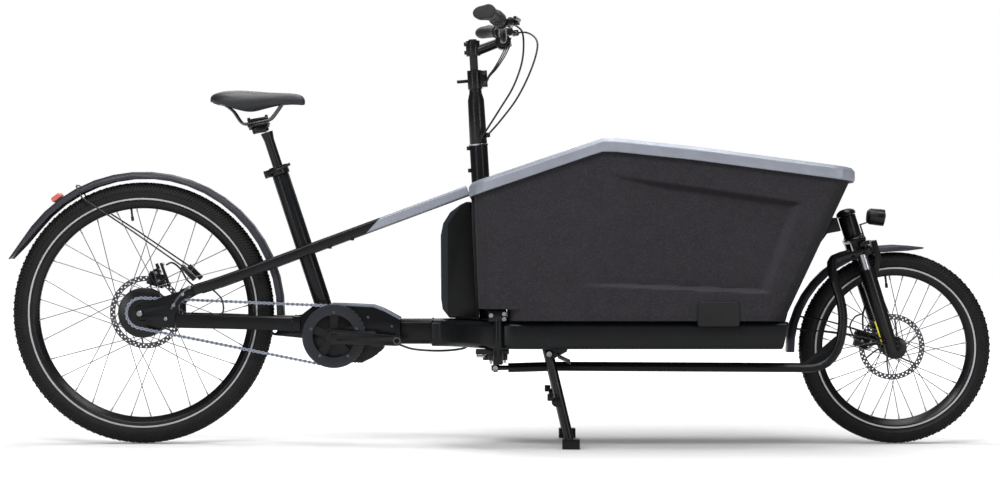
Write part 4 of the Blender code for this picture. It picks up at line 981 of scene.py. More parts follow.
# %% Toothed rings, guard and cranks
def toothed(name, centre, radius, teeth, y, bore, holes=()):
    outline = []
    for i in range(teeth):
        a = 360 / teeth * i
        for share, r in ((-0.3, -0.004), (-0.22, -0.001), (-0.08, 0.0038), (0.08, 0.0038), (0.22, -0.001),
                         (0.3, -0.004)):
            angle = math.radians(a + share * 360 / teeth)
            outline.append((centre.x + (radius + r) * math.cos(angle),
                            centre.z + (radius + r) * math.sin(angle)))
    return plate(name, outline, y - 0.001, y + 0.001, [circle((centre.x, centre.z), bore, 40), *holes], 0)


# %% [markdown]
# The chainring's windows leave five arms. The sprocket is the same kind of plate, smaller, and sits
# on the rear hub.

# %% Chainring and sprocket
windows = []
for index in range(5):
    start = 72 * index + 102
    windows.append(arc((CRANK.x, CRANK.z), 0.058, start, start + 48, 9)
                   + arc((CRANK.x, CRANK.z), 0.026, start + 38, start + 10, 5))
place(toothed("chainring_toothed", CRANK, RING_RADIUS, RING_TEETH, CHAIN_Y, 0.012, windows), "crank",
      "black_anodised", replaces=["chainring"])
place(toothed("sprocket", REAR_AXLE, SPROCKET_RADIUS, SPROCKET_TEETH, CHAIN_Y, 0.022), "rear_wheel",
      "black_anodised")


# %% [markdown]
# The guard is a flat moulded ring, turned from its section and held by five small bolts. The crank
# arms are forged, so their edges are rounded most. A steel ring lines the empty eye for the pedal.

# %% Guard and crank arms
place(turned("chainring_guard_ring", [
    (0.0848, 0.0566), (0.0852, 0.058), (0.0846, 0.0594), (0.08, 0.0606), (0.072, 0.06), (0.06, 0.06),
    (0.0572, 0.0594), (0.0565, 0.058), (0.0568, 0.0562), (0.06, 0.0556), (0.08, 0.0556)],
    move(CRANK) @ FACE_RIGHT, 128), "crank", "slate_plastic",
    replaces=["chainring_guard"])
guard_bolts = [around_y(CRANK, 0.0645, 90 + 72 * i, -0.0605, 0) @ FACE_RIGHT for i in range(5)]
copies("guard_bolts", bolt(radius=0.004, height=0.0016), guard_bolts, "dark_steel", "crank")
from_cad("crank_arm_right", None, 0.0035, 4)
from_cad("crank_arm_left", None, 0.003, 4)
crank_caps = [around_y(CRANK, 0, 0, -0.0905, math.pi / 2), around_y(CRANK, 0, 0, 0.0905, -math.pi / 2)]
copies("crank_caps", bolt(radius=0.0115, height=0.003), crank_caps, "black_anodised", "crank")
CRANK_LENGTH, CRANK_DROP = 0.17, math.radians(3.8)
eye = CRANK + Vector((CRANK_LENGTH * math.cos(CRANK_DROP), 0, -CRANK_LENGTH * math.sin(CRANK_DROP)))
rim_profile = [(0.01, -0.001), (0.01, 0.0012), (0.0072, 0.0012), (0.007, -0.001)]
place(turned("pedal_eye_ring", rim_profile, about_y(eye + Vector((0, -0.0907, 0))), 32), "crank",
      "dark_steel")


# %% [markdown]
# ## Frame
# The frame is welded from drawn tubes and two long rails that carry the box. The CAD shapes are
# right already, so they keep their form and get rounded edges and powder coat. Rails are rounder
# than tubes' cut ends, and the upper tubes change from black to silver along a slanted line.

# %% Frame members
for node in ("seat_tube", "chainstay_right", "chainstay_left", "main_beam", "rear_crossmember", "gooseneck",
             "front_head_tube", "kickstand_bracket", "steering_head_tube", "motor_cradle"):
    from_cad(node, None, 0.0022, 3)
for node in ("cargo_rail_right", "cargo_rail_left"):
    from_cad(node, None, 0.005, 4, 25)
for node in ("upper_tube_right", "upper_tube_left"):
    from_cad(node, "two_tone", 0.0022, 3, 25)
from_cad("push_rod", None, 0.0006, 2)
for node in ("seat_clamp", "rear_brake_caliper", "rod_joint", "seat_clamp_lever", "mast_clamp_lever"):
    from_cad(node, None, 0.001, 2)


# %% [markdown]
# A welded joint shows a rippled bead where two tubes meet. It's a ring of small bulges round the
# tube: without it the tubes would look pushed into each other.

# %% Weld beads
def weld(name, matrix, radius, thickness=0.003, squeeze=1.0):
    """A rippled bead round a tube."""
    working = bmesh.new()
    rings = []
    for i in range(96):
        a = 2 * math.pi * i / 96
        bulge = thickness * (1 + 0.18 * math.cos(a * 34))
        ring = []
        for j in range(8):
            b = 2 * math.pi * j / 8
            r = radius + bulge * math.cos(b)
            ring.append(working.verts.new((r * math.cos(a), r * math.sin(a) * squeeze,
                                           bulge * math.sin(b))))
        rings.append(ring)
    for a, b in zip(rings, rings[1:] + rings[:1]):
        for j in range(8):
            working.faces.new((a[j], b[j], b[(j + 1) % 8], a[(j + 1) % 8]))
    piece = from_bmesh(name, working, matrix)
    piece.data.shade_smooth()
    return piece


place(rod("seat_tube_root", (0, 0, -0.034), (0, 0, 0.008), 0.0226, sides=64, width=0.001, matrix=SEAT),
      "frame", "satin_black")
welds = [
    weld("w", STEERING @ move((0, 0, 0.137)), 0.0245),
    weld("w", FORK @ move((0, 0, 0.3135)), 0.024, 0.0022),
    weld("w", move((-0.18, 0, 0.302)) @ FACE_AHEAD, 0.033, 0.0034, 0.78),
    weld("w", move((-0.5545, -0.058, 0.324)) @ FACE_AHEAD, 0.018, 0.003, 0.62),
    weld("w", move((-0.5545, 0.058, 0.324)) @ FACE_AHEAD, 0.018, 0.003, 0.62),
]
place(joined("frame_welds", *welds), "frame", "satin_black")


# %% [markdown]
# ## Motor and battery
# The motor hangs in a cast cradle at the foot of the seat tube, with a pale trim band along the
# cradle's edge and cooling ribs below. The battery stands behind the box under a tall cover. Ribs
# are thin blocks in a row, joined with their housing into one casting.

# %% Motor, trim band, battery and its cover
from_cad("drive_motor", None, 0.004, 4)
from_cad("battery", None, 0.003, 3)
from_cad("battery_cover", "cover_with_painted_sheen", 0.009, 6)
band_path = [(-0.454, 0.3782), (-0.399, 0.377), (-0.3396, 0.3738), (-0.3125, 0.364), (-0.2672, 0.3396),
             (-0.2672, 0.333), (-0.314, 0.3575), (-0.341, 0.3672), (-0.399, 0.37), (-0.454, 0.3712)]
for side, label in SIDES:
    low, high = sorted((side * 0.038, side * 0.0414))
    place(plate("cradle_band_" + label, band_path, low, high, (), 0.001), "frame",
          "pale_grey")
housing = plate("housing", [(-0.396, 0.26), (-0.396, 0.22), (-0.37, 0.218), (-0.34, 0.233),
                            (-0.312, 0.256), (-0.312, 0.266)], -0.0395, 0.0395, (), 0.003)
fins = [housing]
for index in range(9):
    x = -0.39 + 0.0085 * index
    low_z = 0.2175 if x < -0.372 else 0.2175 + (x + 0.372) * 0.62
    fins.append(block("fin", (x, -0.0401, low_z), (x + 0.0026, 0.0401, 0.26), 0.0005))
place(joined("motor_ribs", *fins), "frame", "black_plastic")
cover_bolts = [move((x, -0.0403, z)) @ FACE_RIGHT
               for x, z in ((-0.354, 0.34), (-0.5, 0.33), (-0.4, 0.332), (-0.29, 0.316))]
copies("cradle_bolts", bolt(radius=0.0036, height=0.0016), cover_bolts, "dark_steel", "frame")


# %% [markdown]
# ## Cargo box
# The tub is moulded from foam beads, with a shallow recess pressed into each side that stiffens the
# wall. The CAD tub is cut into a fine grid and its wall points are pushed in by a depth that grows
# from nothing at the back to its full value at the front. A Boolean would leave sharp edges; moving
# points lets the slopes blend as a mould makes them.

# %% Tub and its recesses
RECESS_DEPTH = 0.02
DEEPENS_FROM, DEEPENS_OVER = 0.1, 0.36  # along X, from the back
EDGE_SLOPES = (0.016, 0.032, 0.011, 0.2)  # width of the slope along each edge
RECESS = [Vector(corner) for corner in ((0.2323, 0.7258), (0.786, 0.645), (0.7, 0.408), (0.1291, 0.4316))]


def recess_depth(x, z):
    """How far the wall is pressed in: nothing at the back, all of it at the front, with sloping edges."""
    spot, nearest = Vector((x, z)), 1.0
    for first, second, slope in zip(RECESS, RECESS[1:] + RECESS[:1], EDGE_SLOPES):
        along = (second - first).normalized()
        across = spot - first
        nearest = min(nearest, (across.x * along.y - across.y * along.x) / slope)
    if nearest <= 0:
        return 0.0
    ahead = min(max((x - DEEPENS_FROM) / DEEPENS_OVER, 0), 1)
    share = min(nearest, 1)
    return RECESS_DEPTH * ahead * share * share * (3 - 2 * share)


tub = softened(link("cargo_box_tub", frame["nodes"]["cargo_box"].data.copy()), 0.006, 4, 28)
working = bmesh.new()
working.from_mesh(tub.data)
steps = [((x, 0, 0), (1, 0, 0)) for x in np.arange(0.13, 0.81, 0.006)]
steps += [((0, 0, z), (0, 0, 1)) for z in np.arange(0.4, 0.735, 0.0045)]
for point, normal in steps:
    bmesh.ops.bisect_plane(working, geom=working.verts[:] + working.edges[:] + working.faces[:], dist=1e-5,
                           plane_co=point, plane_no=normal)
for vert in working.verts:
    if abs(vert.co.y) > 0.2:
        vert.co.y -= math.copysign(recess_depth(vert.co.x, vert.co.z), vert.co.y)
working.to_mesh(tub.data)
working.free()
shaded(tub, 50)
moved = [vert.co.y for vert in tub.data.vertices if recess_depth(vert.co.x, vert.co.z) > RECESS_DEPTH / 2]
print("tub", len(tub.data.polygons), "faces,", len(moved), "pressed")
place(tub, "frame", "charcoal_foam", replaces=["cargo_box"])


# %% [markdown]
# A silver-grey rim caps the wall all the way round. A thin dark seal shows just below it, made from
# the rim's own shape, slightly smaller and lower, so it follows every bend. A black flap covers an
# opening at the foot of each side.

# %% Rim, seal and flaps
from_cad("box_rim", None, 0.008, 6, 20)
seal = link("rim_seal", frame["nodes"]["box_rim"].data.copy())
middle = sum((vert.co for vert in seal.data.vertices), Vector()) / len(seal.data.vertices)
for vert in seal.data.vertices:
    vert.co.x = middle.x + (vert.co.x - middle.x) * 0.9965
    vert.co.y *= 0.991
    vert.co.z -= 0.003
place(softened(seal, 0.003, 3, 20), "frame", "black_plastic")
for side, label in SIDES:
    low, high = sorted((side * 0.2868, side * 0.2925))
    outline = arc((0.518, 0.33), 0.006, 180, 270, 4) + arc((0.614, 0.33), 0.006, 270, 360, 4)
    outline += arc((0.614, 0.381), 0.006, 0, 90, 4) + arc((0.518, 0.381), 0.006, 90, 180, 4)
    place(plate("box_flap_" + label, outline, low, high, (), 0.0015), "frame", "black_plastic")


# %% [markdown]
# ## Fittings under the box
# A strap with a post ties each rail to the box at the back, small feet and bright studs hold it
# from below, and a rubber mat stands between box and cover. They're joined blocks and rods: small,
# but they're what tells the eye how the box is fixed.

# %% Rail fittings and bolts
for side, label in SIDES:
    strap = [rod("post", (-0.005, side * 0.263, 0.224), (-0.005, side * 0.263, 0.34), 0.0115, sides=24,
                 width=0.002),
             block("foot", (-0.018, side * 0.262 - 0.012, 0.2235), (0.008, side * 0.262 + 0.012, 0.264),
                   0.004),
             block("bracket", (-0.03, side * 0.255 - 0.018, 0.3355), (0.018, side * 0.255 + 0.018, 0.364),
                   0.003)]
    place(joined("rail_strap_" + label, *strap), "frame", "satin_black")
fittings = [
    block("foot", (-0.064, -0.215, 0.248), (0.024, -0.185, 0.262), 0.003),
    block("lug", (-0.03, -0.21, 0.233), (-0.018, -0.19, 0.25), 0.002),
    block("lug", (0.006, -0.21, 0.233), (0.02, -0.19, 0.25), 0.002),
]
place(joined("rail_fittings", *fittings), "frame", "black_plastic")
pads = [block("pad", (-0.062, -0.218, 0.24), (-0.04, -0.193, 0.249), 0.002),
        rod("stud", (-0.024, -0.2, 0.223), (-0.024, -0.2, 0.234), 0.0045, sides=6),
        rod("stud", (0.013, -0.2, 0.225), (0.013, -0.2, 0.234), 0.0045, sides=6)]
place(joined("rail_fitting_studs", *pads), "frame", "bright_steel")
bracket_bolts = [move((x, side * 0.2735, z)) @ facing_out(side)
                 for side in (RIGHT, LEFT) for x, z in ((-0.023, 0.352), (0.011, 0.356), (0.011, 0.343))]
copies("bracket_bolts", bolt(radius=0.0058, height=0.0035), bracket_bolts, "bright_steel", "frame")
mats = [block("mat", (-0.0765, -0.0675, 0.337), (-0.0565, 0.0675, 0.658), 0.002),
        block("mat", (-0.0815, -0.061, 0.347), (-0.0764, 0.061, 0.638), 0.001),
        block("foot", (-0.12, -0.06, 0.336), (-0.057, 0.06, 0.3394), 0.001)]
place(joined("box_back_mat", *mats), "frame", "black_plastic")


# %% [markdown]
# The ball joint at the back end of the push rod shows a bright cap. It rides on the joint's own
# body, so it turns with the steering.

# %% Push-rod joint cap
ball = Vector(JOINTS["rod_joint_turn"]["pos_m"])
copies("rod_joint_cap", bolt(radius=0.007, height=0.004), [move(ball + Vector((0, -0.0112, 0)))
       @ FACE_RIGHT], "bright_steel", "rod_joint")


# %% [markdown]
# ## Fenders and lights
# Fenders are thin pressed strips that keep their CAD shape with the edges barely rounded. The red
# light sits on the rear one. The headlight has a domed lens in front of its housing and a slim
# bezel round it, both turned about the lamp's own axis.

# %% Fenders and lights
for node in ("rear_fender", "front_fender"):
    from_cad(node, None, 0.0006, 2, 50)
from_cad("rear_fender_stay", None, 0.0003, 2)
from_cad("rear_light", None, 0.005, 4)
from_cad("headlight", None, 0.0016, 3)
lamp = move((1.014, 0, 0.6097)) @ Matrix.Rotation(math.radians(96), 4, "Y")
place(turned("headlight_lens", [(0, 0.0262), (0.011, 0.0252), (0.0185, 0.0228), (0.02, 0.0205), (0, 0.02)],
             lamp, 48, False), "fork_upper", "clear_lens")
place(turned("headlight_bezel", [(0.0205, 0.0215), (0.0226, 0.0215), (0.0229, 0.012), (0.0226, 0.003),
                                 (0.0205, 0.003)], lamp, 48), "fork_upper", "black_anodised")


# %% [markdown]
# ## Saddle and seatpost
# A saddle is a foam pad under a stretched cover: wide at the back, a long nose, and edges that roll
# under. It could be blown up as cloth, but its form is stiff and well known, so a coarse cage of
# ten sections is smoothed three times. Each section gives its place, half width, top and depth.

# %% Saddle cover
SADDLE = [(-0.779, 0.03, 0.93, 0.012), (-0.774, 0.056, 0.939, 0.023), (-0.75, 0.077, 0.947, 0.036),
          (-0.715, 0.083, 0.949, 0.048), (-0.68, 0.074, 0.948, 0.056), (-0.645, 0.052, 0.945, 0.045),
          (-0.605, 0.031, 0.943, 0.033), (-0.565, 0.023, 0.9425, 0.029), (-0.538, 0.02, 0.9395, 0.028),
          (-0.525, 0.015, 0.929, 0.018)]
working = bmesh.new()
rings = []
for x, half, top, depth in SADDLE:
    row = [(0, -0.07), (0.35, 0.0), (0.75, 0.1), (1.0, 0.42), (1.03, 0.8), (0.95, 1.0), (0.84, 0.96),
           (0.78, 0.62), (0.4, 0.42), (0, 0.4)]
    row = [(across * half, top - down * depth) for across, down in row]
    loop = row + [(-y, z) for y, z in row[-2:0:-1]]
    rings.append([working.verts.new((x, y, z)) for y, z in loop])
for a, b in zip(rings, rings[1:]):
    for i in range(len(a)):
        j = (i + 1) % len(a)
        working.faces.new((a[i], a[j], b[j], b[i]))
working.faces.new(rings[0])
working.faces.new(rings[-1])
saddle = from_bmesh("saddle_cover", working)
smooth = saddle.modifiers.new("padding", "SUBSURF")
smooth.levels = smooth.render_levels = 3
saddle = settled(saddle)
saddle.data.shade_smooth()
place(saddle, "seat", "saddle_cover", replaces=["saddle"])


# %% [markdown]
# Two bent steel rails hang under the pad, and the seatpost's clamp holds them between a cradle and
# a lid with two bolts at each end. The parts are drawn in the rail's own leaning frame.

# %% Rails, seatpost and clamp
RAIL_PATH = [(-0.752, 0.024, 0.918), (-0.72, 0.0235, 0.896), (-0.699, 0.023, 0.867), (-0.685, 0.022, 0.86),
             (-0.65, 0.0215, 0.866), (-0.622, 0.021, 0.872), (-0.608, 0.02, 0.885), (-0.586, 0.018, 0.916)]
rails = [pipe("rail", smooth_path([(x, side * y, z) for x, y, z in RAIL_PATH], 8), 0.0035)
         for side in (RIGHT, LEFT)]
place(joined("saddle_rails", *rails), "seat", "dark_steel")


# %% [markdown]
# The post ends in a clamp: a cradle below the rails, a lid above them, and a web that joins the
# cradle to the tube.

# %% Seatpost and its clamp
UP_RAIL = move((-0.652, 0, 0.866)) @ Matrix.Rotation(math.radians(-10), 4, "Y")
post = [
    turned("tube", [(0.0136, 0.146), (0.0136, 0.462), (0.0155, 0.474), (0.017, 0.484), (0.0, 0.484),
                    (0.0, 0.146)],
           SEAT, 64, False),
    block("cradle", (-0.029, -0.0265, -0.012), (0.029, 0.0265, -0.0045), 0.003, UP_RAIL),
    block("lid", (-0.027, -0.027, 0.004), (0.027, 0.027, 0.01), 0.003, UP_RAIL),
    rod("web", (-0.02, 0, -0.02), (0.024, 0, -0.016), 0.0115, 0.0115, 24, 0.003, UP_RAIL),
    block("neck", (-0.013, -0.013, -0.03), (0.019, 0.013, -0.01), 0.004, UP_RAIL),
]
place(joined("seatpost_finished", *post), "seat", "black_anodised", replaces=["seatpost"])
clamp_bolts = [UP_RAIL @ move((x, 0, 0.0095)) for x in (-0.024, 0.024)]
clamp_bolts += [UP_RAIL @ move((x, 0, -0.012)) @ Matrix.Rotation(math.pi, 4, "X") for x in (-0.024, 0.024)]
copies("saddle_clamp_bolts", bolt(radius=0.0042, height=0.006), clamp_bolts, "dark_steel", "seat")
place(block("saddle_tail_clip", (-0.766, -0.03, 0.912), (-0.734, 0.03, 0.924), 0.004), "seat",
      "black_plastic")


# %% [markdown]
# ## Steering column and handlebar
# The column stands in front of the rider and carries the stem and a swept bar. They keep their CAD
# shape with rounded edges, and a bright ring marks the bearing at the foot.

# %% Column, stem, bar and controls
from_cad("steering_column", None, 0.0012, 3)
from_cad("stem", None, 0.0022, 3)
place(turned("headset_ring", [(0.025, 0.603), (0.0262, 0.605), (0.0262, 0.6075), (0.0245, 0.6085),
                              (0.02, 0.6085), (0.02, 0.603)], STEERING, 64), "steering", "bright_steel")
from_cad("handlebar", None, 0.0034, 4)


# %% [markdown]
# A comfort grip is a rubber sleeve that widens into a wing under the palm, with a collar at its
# inner end. It's built as rings along the bar's own slant, so one function makes both grips and,
# with ridges instead of a wing, the twist shifter.

# %% Grips and twist shifter
GRIP_IN, GRIP_OUT = Vector((0.0755, 0.195, 0.921)), Vector((0.0461, 0.34, 0.9359))


def grip(name, side, stations, body):
    """Rings along the grip. Each station is (share of the way out, radius, wing behind the hand)."""
    along = Vector((GRIP_OUT.x - GRIP_IN.x, side * (GRIP_OUT.y - GRIP_IN.y),
                    GRIP_OUT.z - GRIP_IN.z)).normalized()
    up = (Vector((0.1, 0, 1)) - along * along.z).normalized()
    ahead = up.cross(along).normalized() * (1 if up.cross(along).x > 0 else -1)
    built = bmesh.new()
    circles = []
    for share, radius, wing in stations:
        centre = GRIP_IN.lerp(GRIP_OUT, share)
        centre.y *= side
        ring = []
        for i in range(48):
            a = 2 * math.pi * i / 48
            back = max(0, math.cos(a - math.radians(193)))
            reach = radius + wing * back**4
            ring.append(built.verts.new(centre + ahead * reach * math.cos(a) + up * reach * math.sin(a)))
        circles.append(ring)
    for first, second in zip(circles, circles[1:]):
        for i in range(48):
            j = (i + 1) % 48
            built.faces.new((first[i], first[j], second[j], second[i]))
    built.faces.new(circles[0])
    built.faces.new(circles[-1])
    piece = shaded(from_bmesh(name, built, STEERING), 40)
    return place(piece, body, "black_rubber", replaces=[name.replace("_finished", "")])


# %% [markdown]
# Stations run from the inner collar to the rounded end. Both grips end at the same place, and the
# right one starts further out, to leave room for the shifter.

# %% Both grips and the shifter
def grip_stations(first):
    steps = [first + (0.99 - first) * i / 16 for i in range(17)]
    rows = [(first - 0.002, 0.0165, 0.0), (first, 0.019, 0.0), (first + 0.05, 0.0192, 0.0),
            (first + 0.06, 0.0172, 0.0)]
    for share in steps[3:]:
        wing = 0.023 * min(max((share - 0.45) / 0.35, 0), 1)**1.4
        rows.append((share, 0.0168 + 0.0006 * math.cos(share * 60) + 0.0016 * max(share - 0.7, 0) / 0.3,
                     wing))
    return rows + [(0.997, 0.0172, 0.0215), (1.0, 0.015, 0.017), (1.0, 0.008, 0.0)]


grip("grip_right_finished", RIGHT, grip_stations(0.36), "handlebar")
grip("grip_left_finished", LEFT, grip_stations(0.12), "handlebar")
ridges = [(0.08, 0.0165, 0), (0.082, 0.02, 0)]
for index in range(9):
    share = 0.09 + 0.026 * index
    ridges += [(share, 0.0206, 0), (share + 0.016, 0.0206, 0), (share + 0.018, 0.0192, 0),
               (share + 0.024, 0.0192, 0)]
grip("twist_shifter_finished", RIGHT, ridges + [(0.335, 0.02, 0), (0.34, 0.0165, 0)], "twist_shifter")


# %% [markdown]
# Each brake lever has a small master cylinder, with the nut where its hose leaves and a band round
# the bar. The levers are their CAD shapes, because they move on their own joints.

# %% Brake masters and levers
for side, label in SIDES:
    masters = [rod("cylinder", (0.103, side * 0.125, 0.915), (0.103, side * 0.19, 0.919), 0.0105, sides=32,
                   width=0.002, matrix=STEERING),
               rod("nut", (0.108, side * 0.133, 0.914), (0.12, side * 0.145, 0.912), 0.005, 0.0036, 16,
                   matrix=STEERING),
               rod("band", (0.079, side * 0.156, 0.916), (0.0775, side * 0.17, 0.918), 0.018, sides=40,
                   width=0.002, matrix=STEERING)]
    place(joined("brake_master_" + label, *masters), "handlebar", "black_anodised")
for node in ("brake_lever_right", "brake_lever_left"):
    from_cad(node, None, 0.001, 2)


# %% [markdown]
# ## Hoses and cables
# Brake hoses leave the masters in wide loops and run down the column into the frame. Both ends are
# fixed, so their length is what the run needs.

# %% Hoses
HOSES = {
    "rear_brake_hose": ([(0.115, -0.142, 0.912), (0.134, -0.1, 0.894), (0.135, -0.065, 0.85),
                         (0.125, -0.048, 0.805), (0.1, -0.042, 0.75), (0.064, -0.04, 0.698),
                         (0.028, -0.038, 0.648), (0.01, -0.033, 0.623)], 0.0026),
    "front_brake_hose": ([(0.115, 0.142, 0.912), (0.15, 0.108, 0.908), (0.173, 0.065, 0.885),
                          (0.172, 0.045, 0.85), (0.148, 0.04, 0.79), (0.11, 0.039, 0.725),
                          (0.062, 0.038, 0.668), (0.024, 0.036, 0.63), (0.01, 0.033, 0.618)], 0.0026),
}
for node, (points, radius) in HOSES.items():
    hose = pipe(node + "_finished", smooth_path(points, 10), radius, STEERING)
    hose.data.materials.append(MATERIALS["hose_sheath"])
    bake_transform(hose)
    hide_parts(node)


# %% [markdown]
# Three thin control cables run side by side from the bar to a clip on the column, a few millimetres
# apart.

# %% Control cables
cables = []
for offset in (-0.005, 0.0, 0.005):
    path = [(0.095 + offset, -0.048, 0.864), (0.078 + offset, -0.042 + offset, 0.835),
            (0.057 + offset * 0.7, -0.034 + offset, 0.806), (0.04 + offset * 0.4, -0.026 + offset, 0.788),
            (0.033, -0.02 + offset, 0.774)]
    cables.append(pipe("cable", smooth_path(path, 8), 0.0017, STEERING))
cables = joined("control_cables_finished", *cables)
cables.data.materials.append(MATERIALS["hose_sheath"])
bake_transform(cables)
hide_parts("control_cables")


# %% [markdown]
# Clamps on the column and the stem are closed by pairs of socket-head bolts, and clips hold the
# cables. Bolts are one turned master, copied to each place.

# %% Clamp bolts and cable clips
side_bolts = [STEERING @ move((0.0265, -0.0152, s)) @ FACE_RIGHT
              for s in (0.769, 0.796)]
copies("mast_clamp_bolts", bolt(radius=0.005, height=0.003), side_bolts, "dark_steel", "steering")
back_bolts = [STEERING @ move((-0.0185, y, s)) @ Matrix.Rotation(-math.pi / 2, 4, "Y")
              for s in (0.855, 0.878) for y in (-0.008, 0.008)]
copies("stem_clamp_bolts", bolt(radius=0.005, height=0.0055), back_bolts, "black_anodised", "handlebar")
face_bolts = [STEERING @ move((0.103, y, s)) @ FACE_AHEAD
              for s in (0.87, 0.888) for y in (-0.015, 0.015)]
copies("bar_clamp_bolts", bolt(radius=0.0036, height=0.002), face_bolts, "bright_steel", "handlebar")
clips = [block("clip", (-0.0325, -0.006, s), (-0.0225, 0.006, s + 0.011), 0.002, STEERING)
         for s in (0.532, 0.592)]
clips.append(block("clip", (0.02, -0.03, 0.624), (0.033, 0.012, 0.636), 0.003, STEERING))
place(joined("cable_clips", *clips[:2]), "frame", "black_plastic")
place(clips[2], "steering", "black_plastic")


# %% [markdown]
# ## Fork
# A short suspension fork: black lowers slide on bright stanchions below the crown. The stanchions
# ride with the crown, so they show when the fork extends. Rings and a cap close the head tube, and
# a yellow stripe marks one leg.

# %% Fork, stanchions and headset
from_cad("fork_crown", None, 0.0025, 3)
from_cad("fork_lowers", None, 0.003, 3)
LEG_SPACING = 0.067
bright = []
for side in (RIGHT, LEFT):
    leg = FORK @ move((0, side * LEG_SPACING, 0))
    bright.append(turned("stanchion", [(0.0148, 0.264), (0.0148, 0.12), (0.0, 0.12), (0.0, 0.264)], leg, 48,
                         False))
place(joined("stanchions", *bright), "fork_upper", "bright_steel")
headset = [(0.0205, 0.303), (0.0262, 0.303), (0.0275, 0.306), (0.0262, 0.31), (0.0205, 0.3105)]
place(turned("headset_lower_ring", headset, FORK, 64), "fork_upper", "bright_steel")
place(turned("headset_top_cap", [(0, 0.3905), (0.012, 0.3905), (0.023, 0.385), (0.0262, 0.379),
                                 (0.0262, 0.373),
                                 (0, 0.373)], FORK, 64, False), "fork_upper", "black_anodised")
place(block("fork_leg_stripe", (-0.0224, -0.076, 0.018), (-0.0192, -0.064, 0.083), 0.0012, FORK),
      "fork_lower", "yellow")


# %% [markdown]
# ## Brake calipers
# A caliper straddles its disc: two piston housings, cooling fins, a hose fitting and a mount. One
# function builds it in its own frame, and a place and an angle set it on each wheel.

# %% Calipers
def caliper_parts(prefix, body, centre, turn):
    """The pieces round a brake caliper: two piston housings, finned pad backs, bolts and a mount."""
    spot = move(centre) @ Matrix.Rotation(math.radians(turn), 4, "Y")
    parts = [rod("piston", (dx, -0.0215, dz), (dx, 0.0215, dz), 0.0105, sides=28, matrix=spot)
             for dx, dz in ((-0.002, -0.011), (-0.002, 0.013))]
    parts += [block("fin", (-0.023 + 0.0042 * i, -0.024, -0.015), (-0.0208 + 0.0042 * i, 0.024, 0.017),
                    0.0006, spot)
              for i in range(4)]
    parts += [rod("banjo", (0.006, -0.006, 0.02), (0.006, -0.006, 0.036), 0.0055, 0.004, sides=16,
                  matrix=spot),
              block("mount", (0.014, -0.011, -0.033), (0.0215, 0.003, 0.034), 0.003, spot)]
    place(joined(prefix + "_caliper_parts", *parts), body, "black_anodised")
    heads = [spot @ move((0.0225, -0.004, dz)) @ FACE_AHEAD for dz in (-0.027, 0.028)]
    heads += [spot @ move((-0.002, -0.022, dz)) @ FACE_RIGHT for dz in (-0.011, 0.013)]
    copies(prefix + "_caliper_bolts", bolt(radius=0.004, height=0.0024), heads, "bright_steel", body)


caliper_parts("rear", "frame", Vector((-0.925, 0.046, 0.448)), -20)
caliper_parts("front", "fork_lower", Vector((0.992, 0.042, 0.275)), -85)


# %% [markdown]
# The last runs of hose reach the calipers, and thin wire stays hold the front fender. All of them
# are tubes along a few points.

# %% Caliper hose, fender stays and frame hoses
hose = smooth_path([(0.984, 0.036, 0.306), (0.985, 0.048, 0.342), (0.993, 0.062, 0.372),
                    (0.996, 0.07, 0.41), (0.978, 0.076, 0.47)], 8)
wires = [pipe("hose", hose, 0.0026), pipe("loop", smooth_path([
    (0.962, 0.04, 0.28), (0.95, 0.046, 0.312), (0.964, 0.054, 0.338), (0.988, 0.062, 0.348)], 8), 0.0022)]
place(joined("front_caliper_hose", *wires), "fork_lower", "hose_sheath")
STAY_PATHS = [[(0.798, 0.03, 0.308), (0.87, 0.056, 0.302), (0.98, 0.079, 0.286), (1.03, 0.082, 0.268)],
              [(0.806, 0.031, 0.342), (0.88, 0.058, 0.33), (0.98, 0.079, 0.3), (1.03, 0.082, 0.278)]]
stays = [pipe("stay", smooth_path([(x, side * y, z) for x, y, z in path], 6), 0.002)
         for side in (RIGHT, LEFT) for path in STAY_PATHS]
place(joined("front_fender_stays", *stays), "fork_lower", "black_anodised")
rear_hose = smooth_path([(-0.906, 0.042, 0.48), (-0.89, 0.046, 0.486), (-0.87, 0.06, 0.47),
                         (-0.852, 0.078, 0.438), (-0.83, 0.086, 0.418)], 8)
near_hose = smooth_path([(-0.77, -0.076, 0.418), (-0.756, -0.08, 0.406), (-0.742, -0.084, 0.39),
                         (-0.737, -0.084, 0.364), (-0.744, -0.08, 0.344)], 8)
under = smooth_path([(-0.27, -0.02, 0.266), (-0.23, -0.022, 0.254), (-0.16, -0.022, 0.25),
                     (-0.1, -0.02, 0.256), (-0.08, -0.02, 0.27)], 8)
place(joined("frame_hoses", pipe("h", rear_hose, 0.0026), pipe("h", near_hose, 0.0024),
             pipe("h", under, 0.003)), "frame",
      "hose_sheath")


# %% [markdown]
# At the right dropout a bent link and four bolts join the stays, and two bosses on the upper tube
# guide a cable.

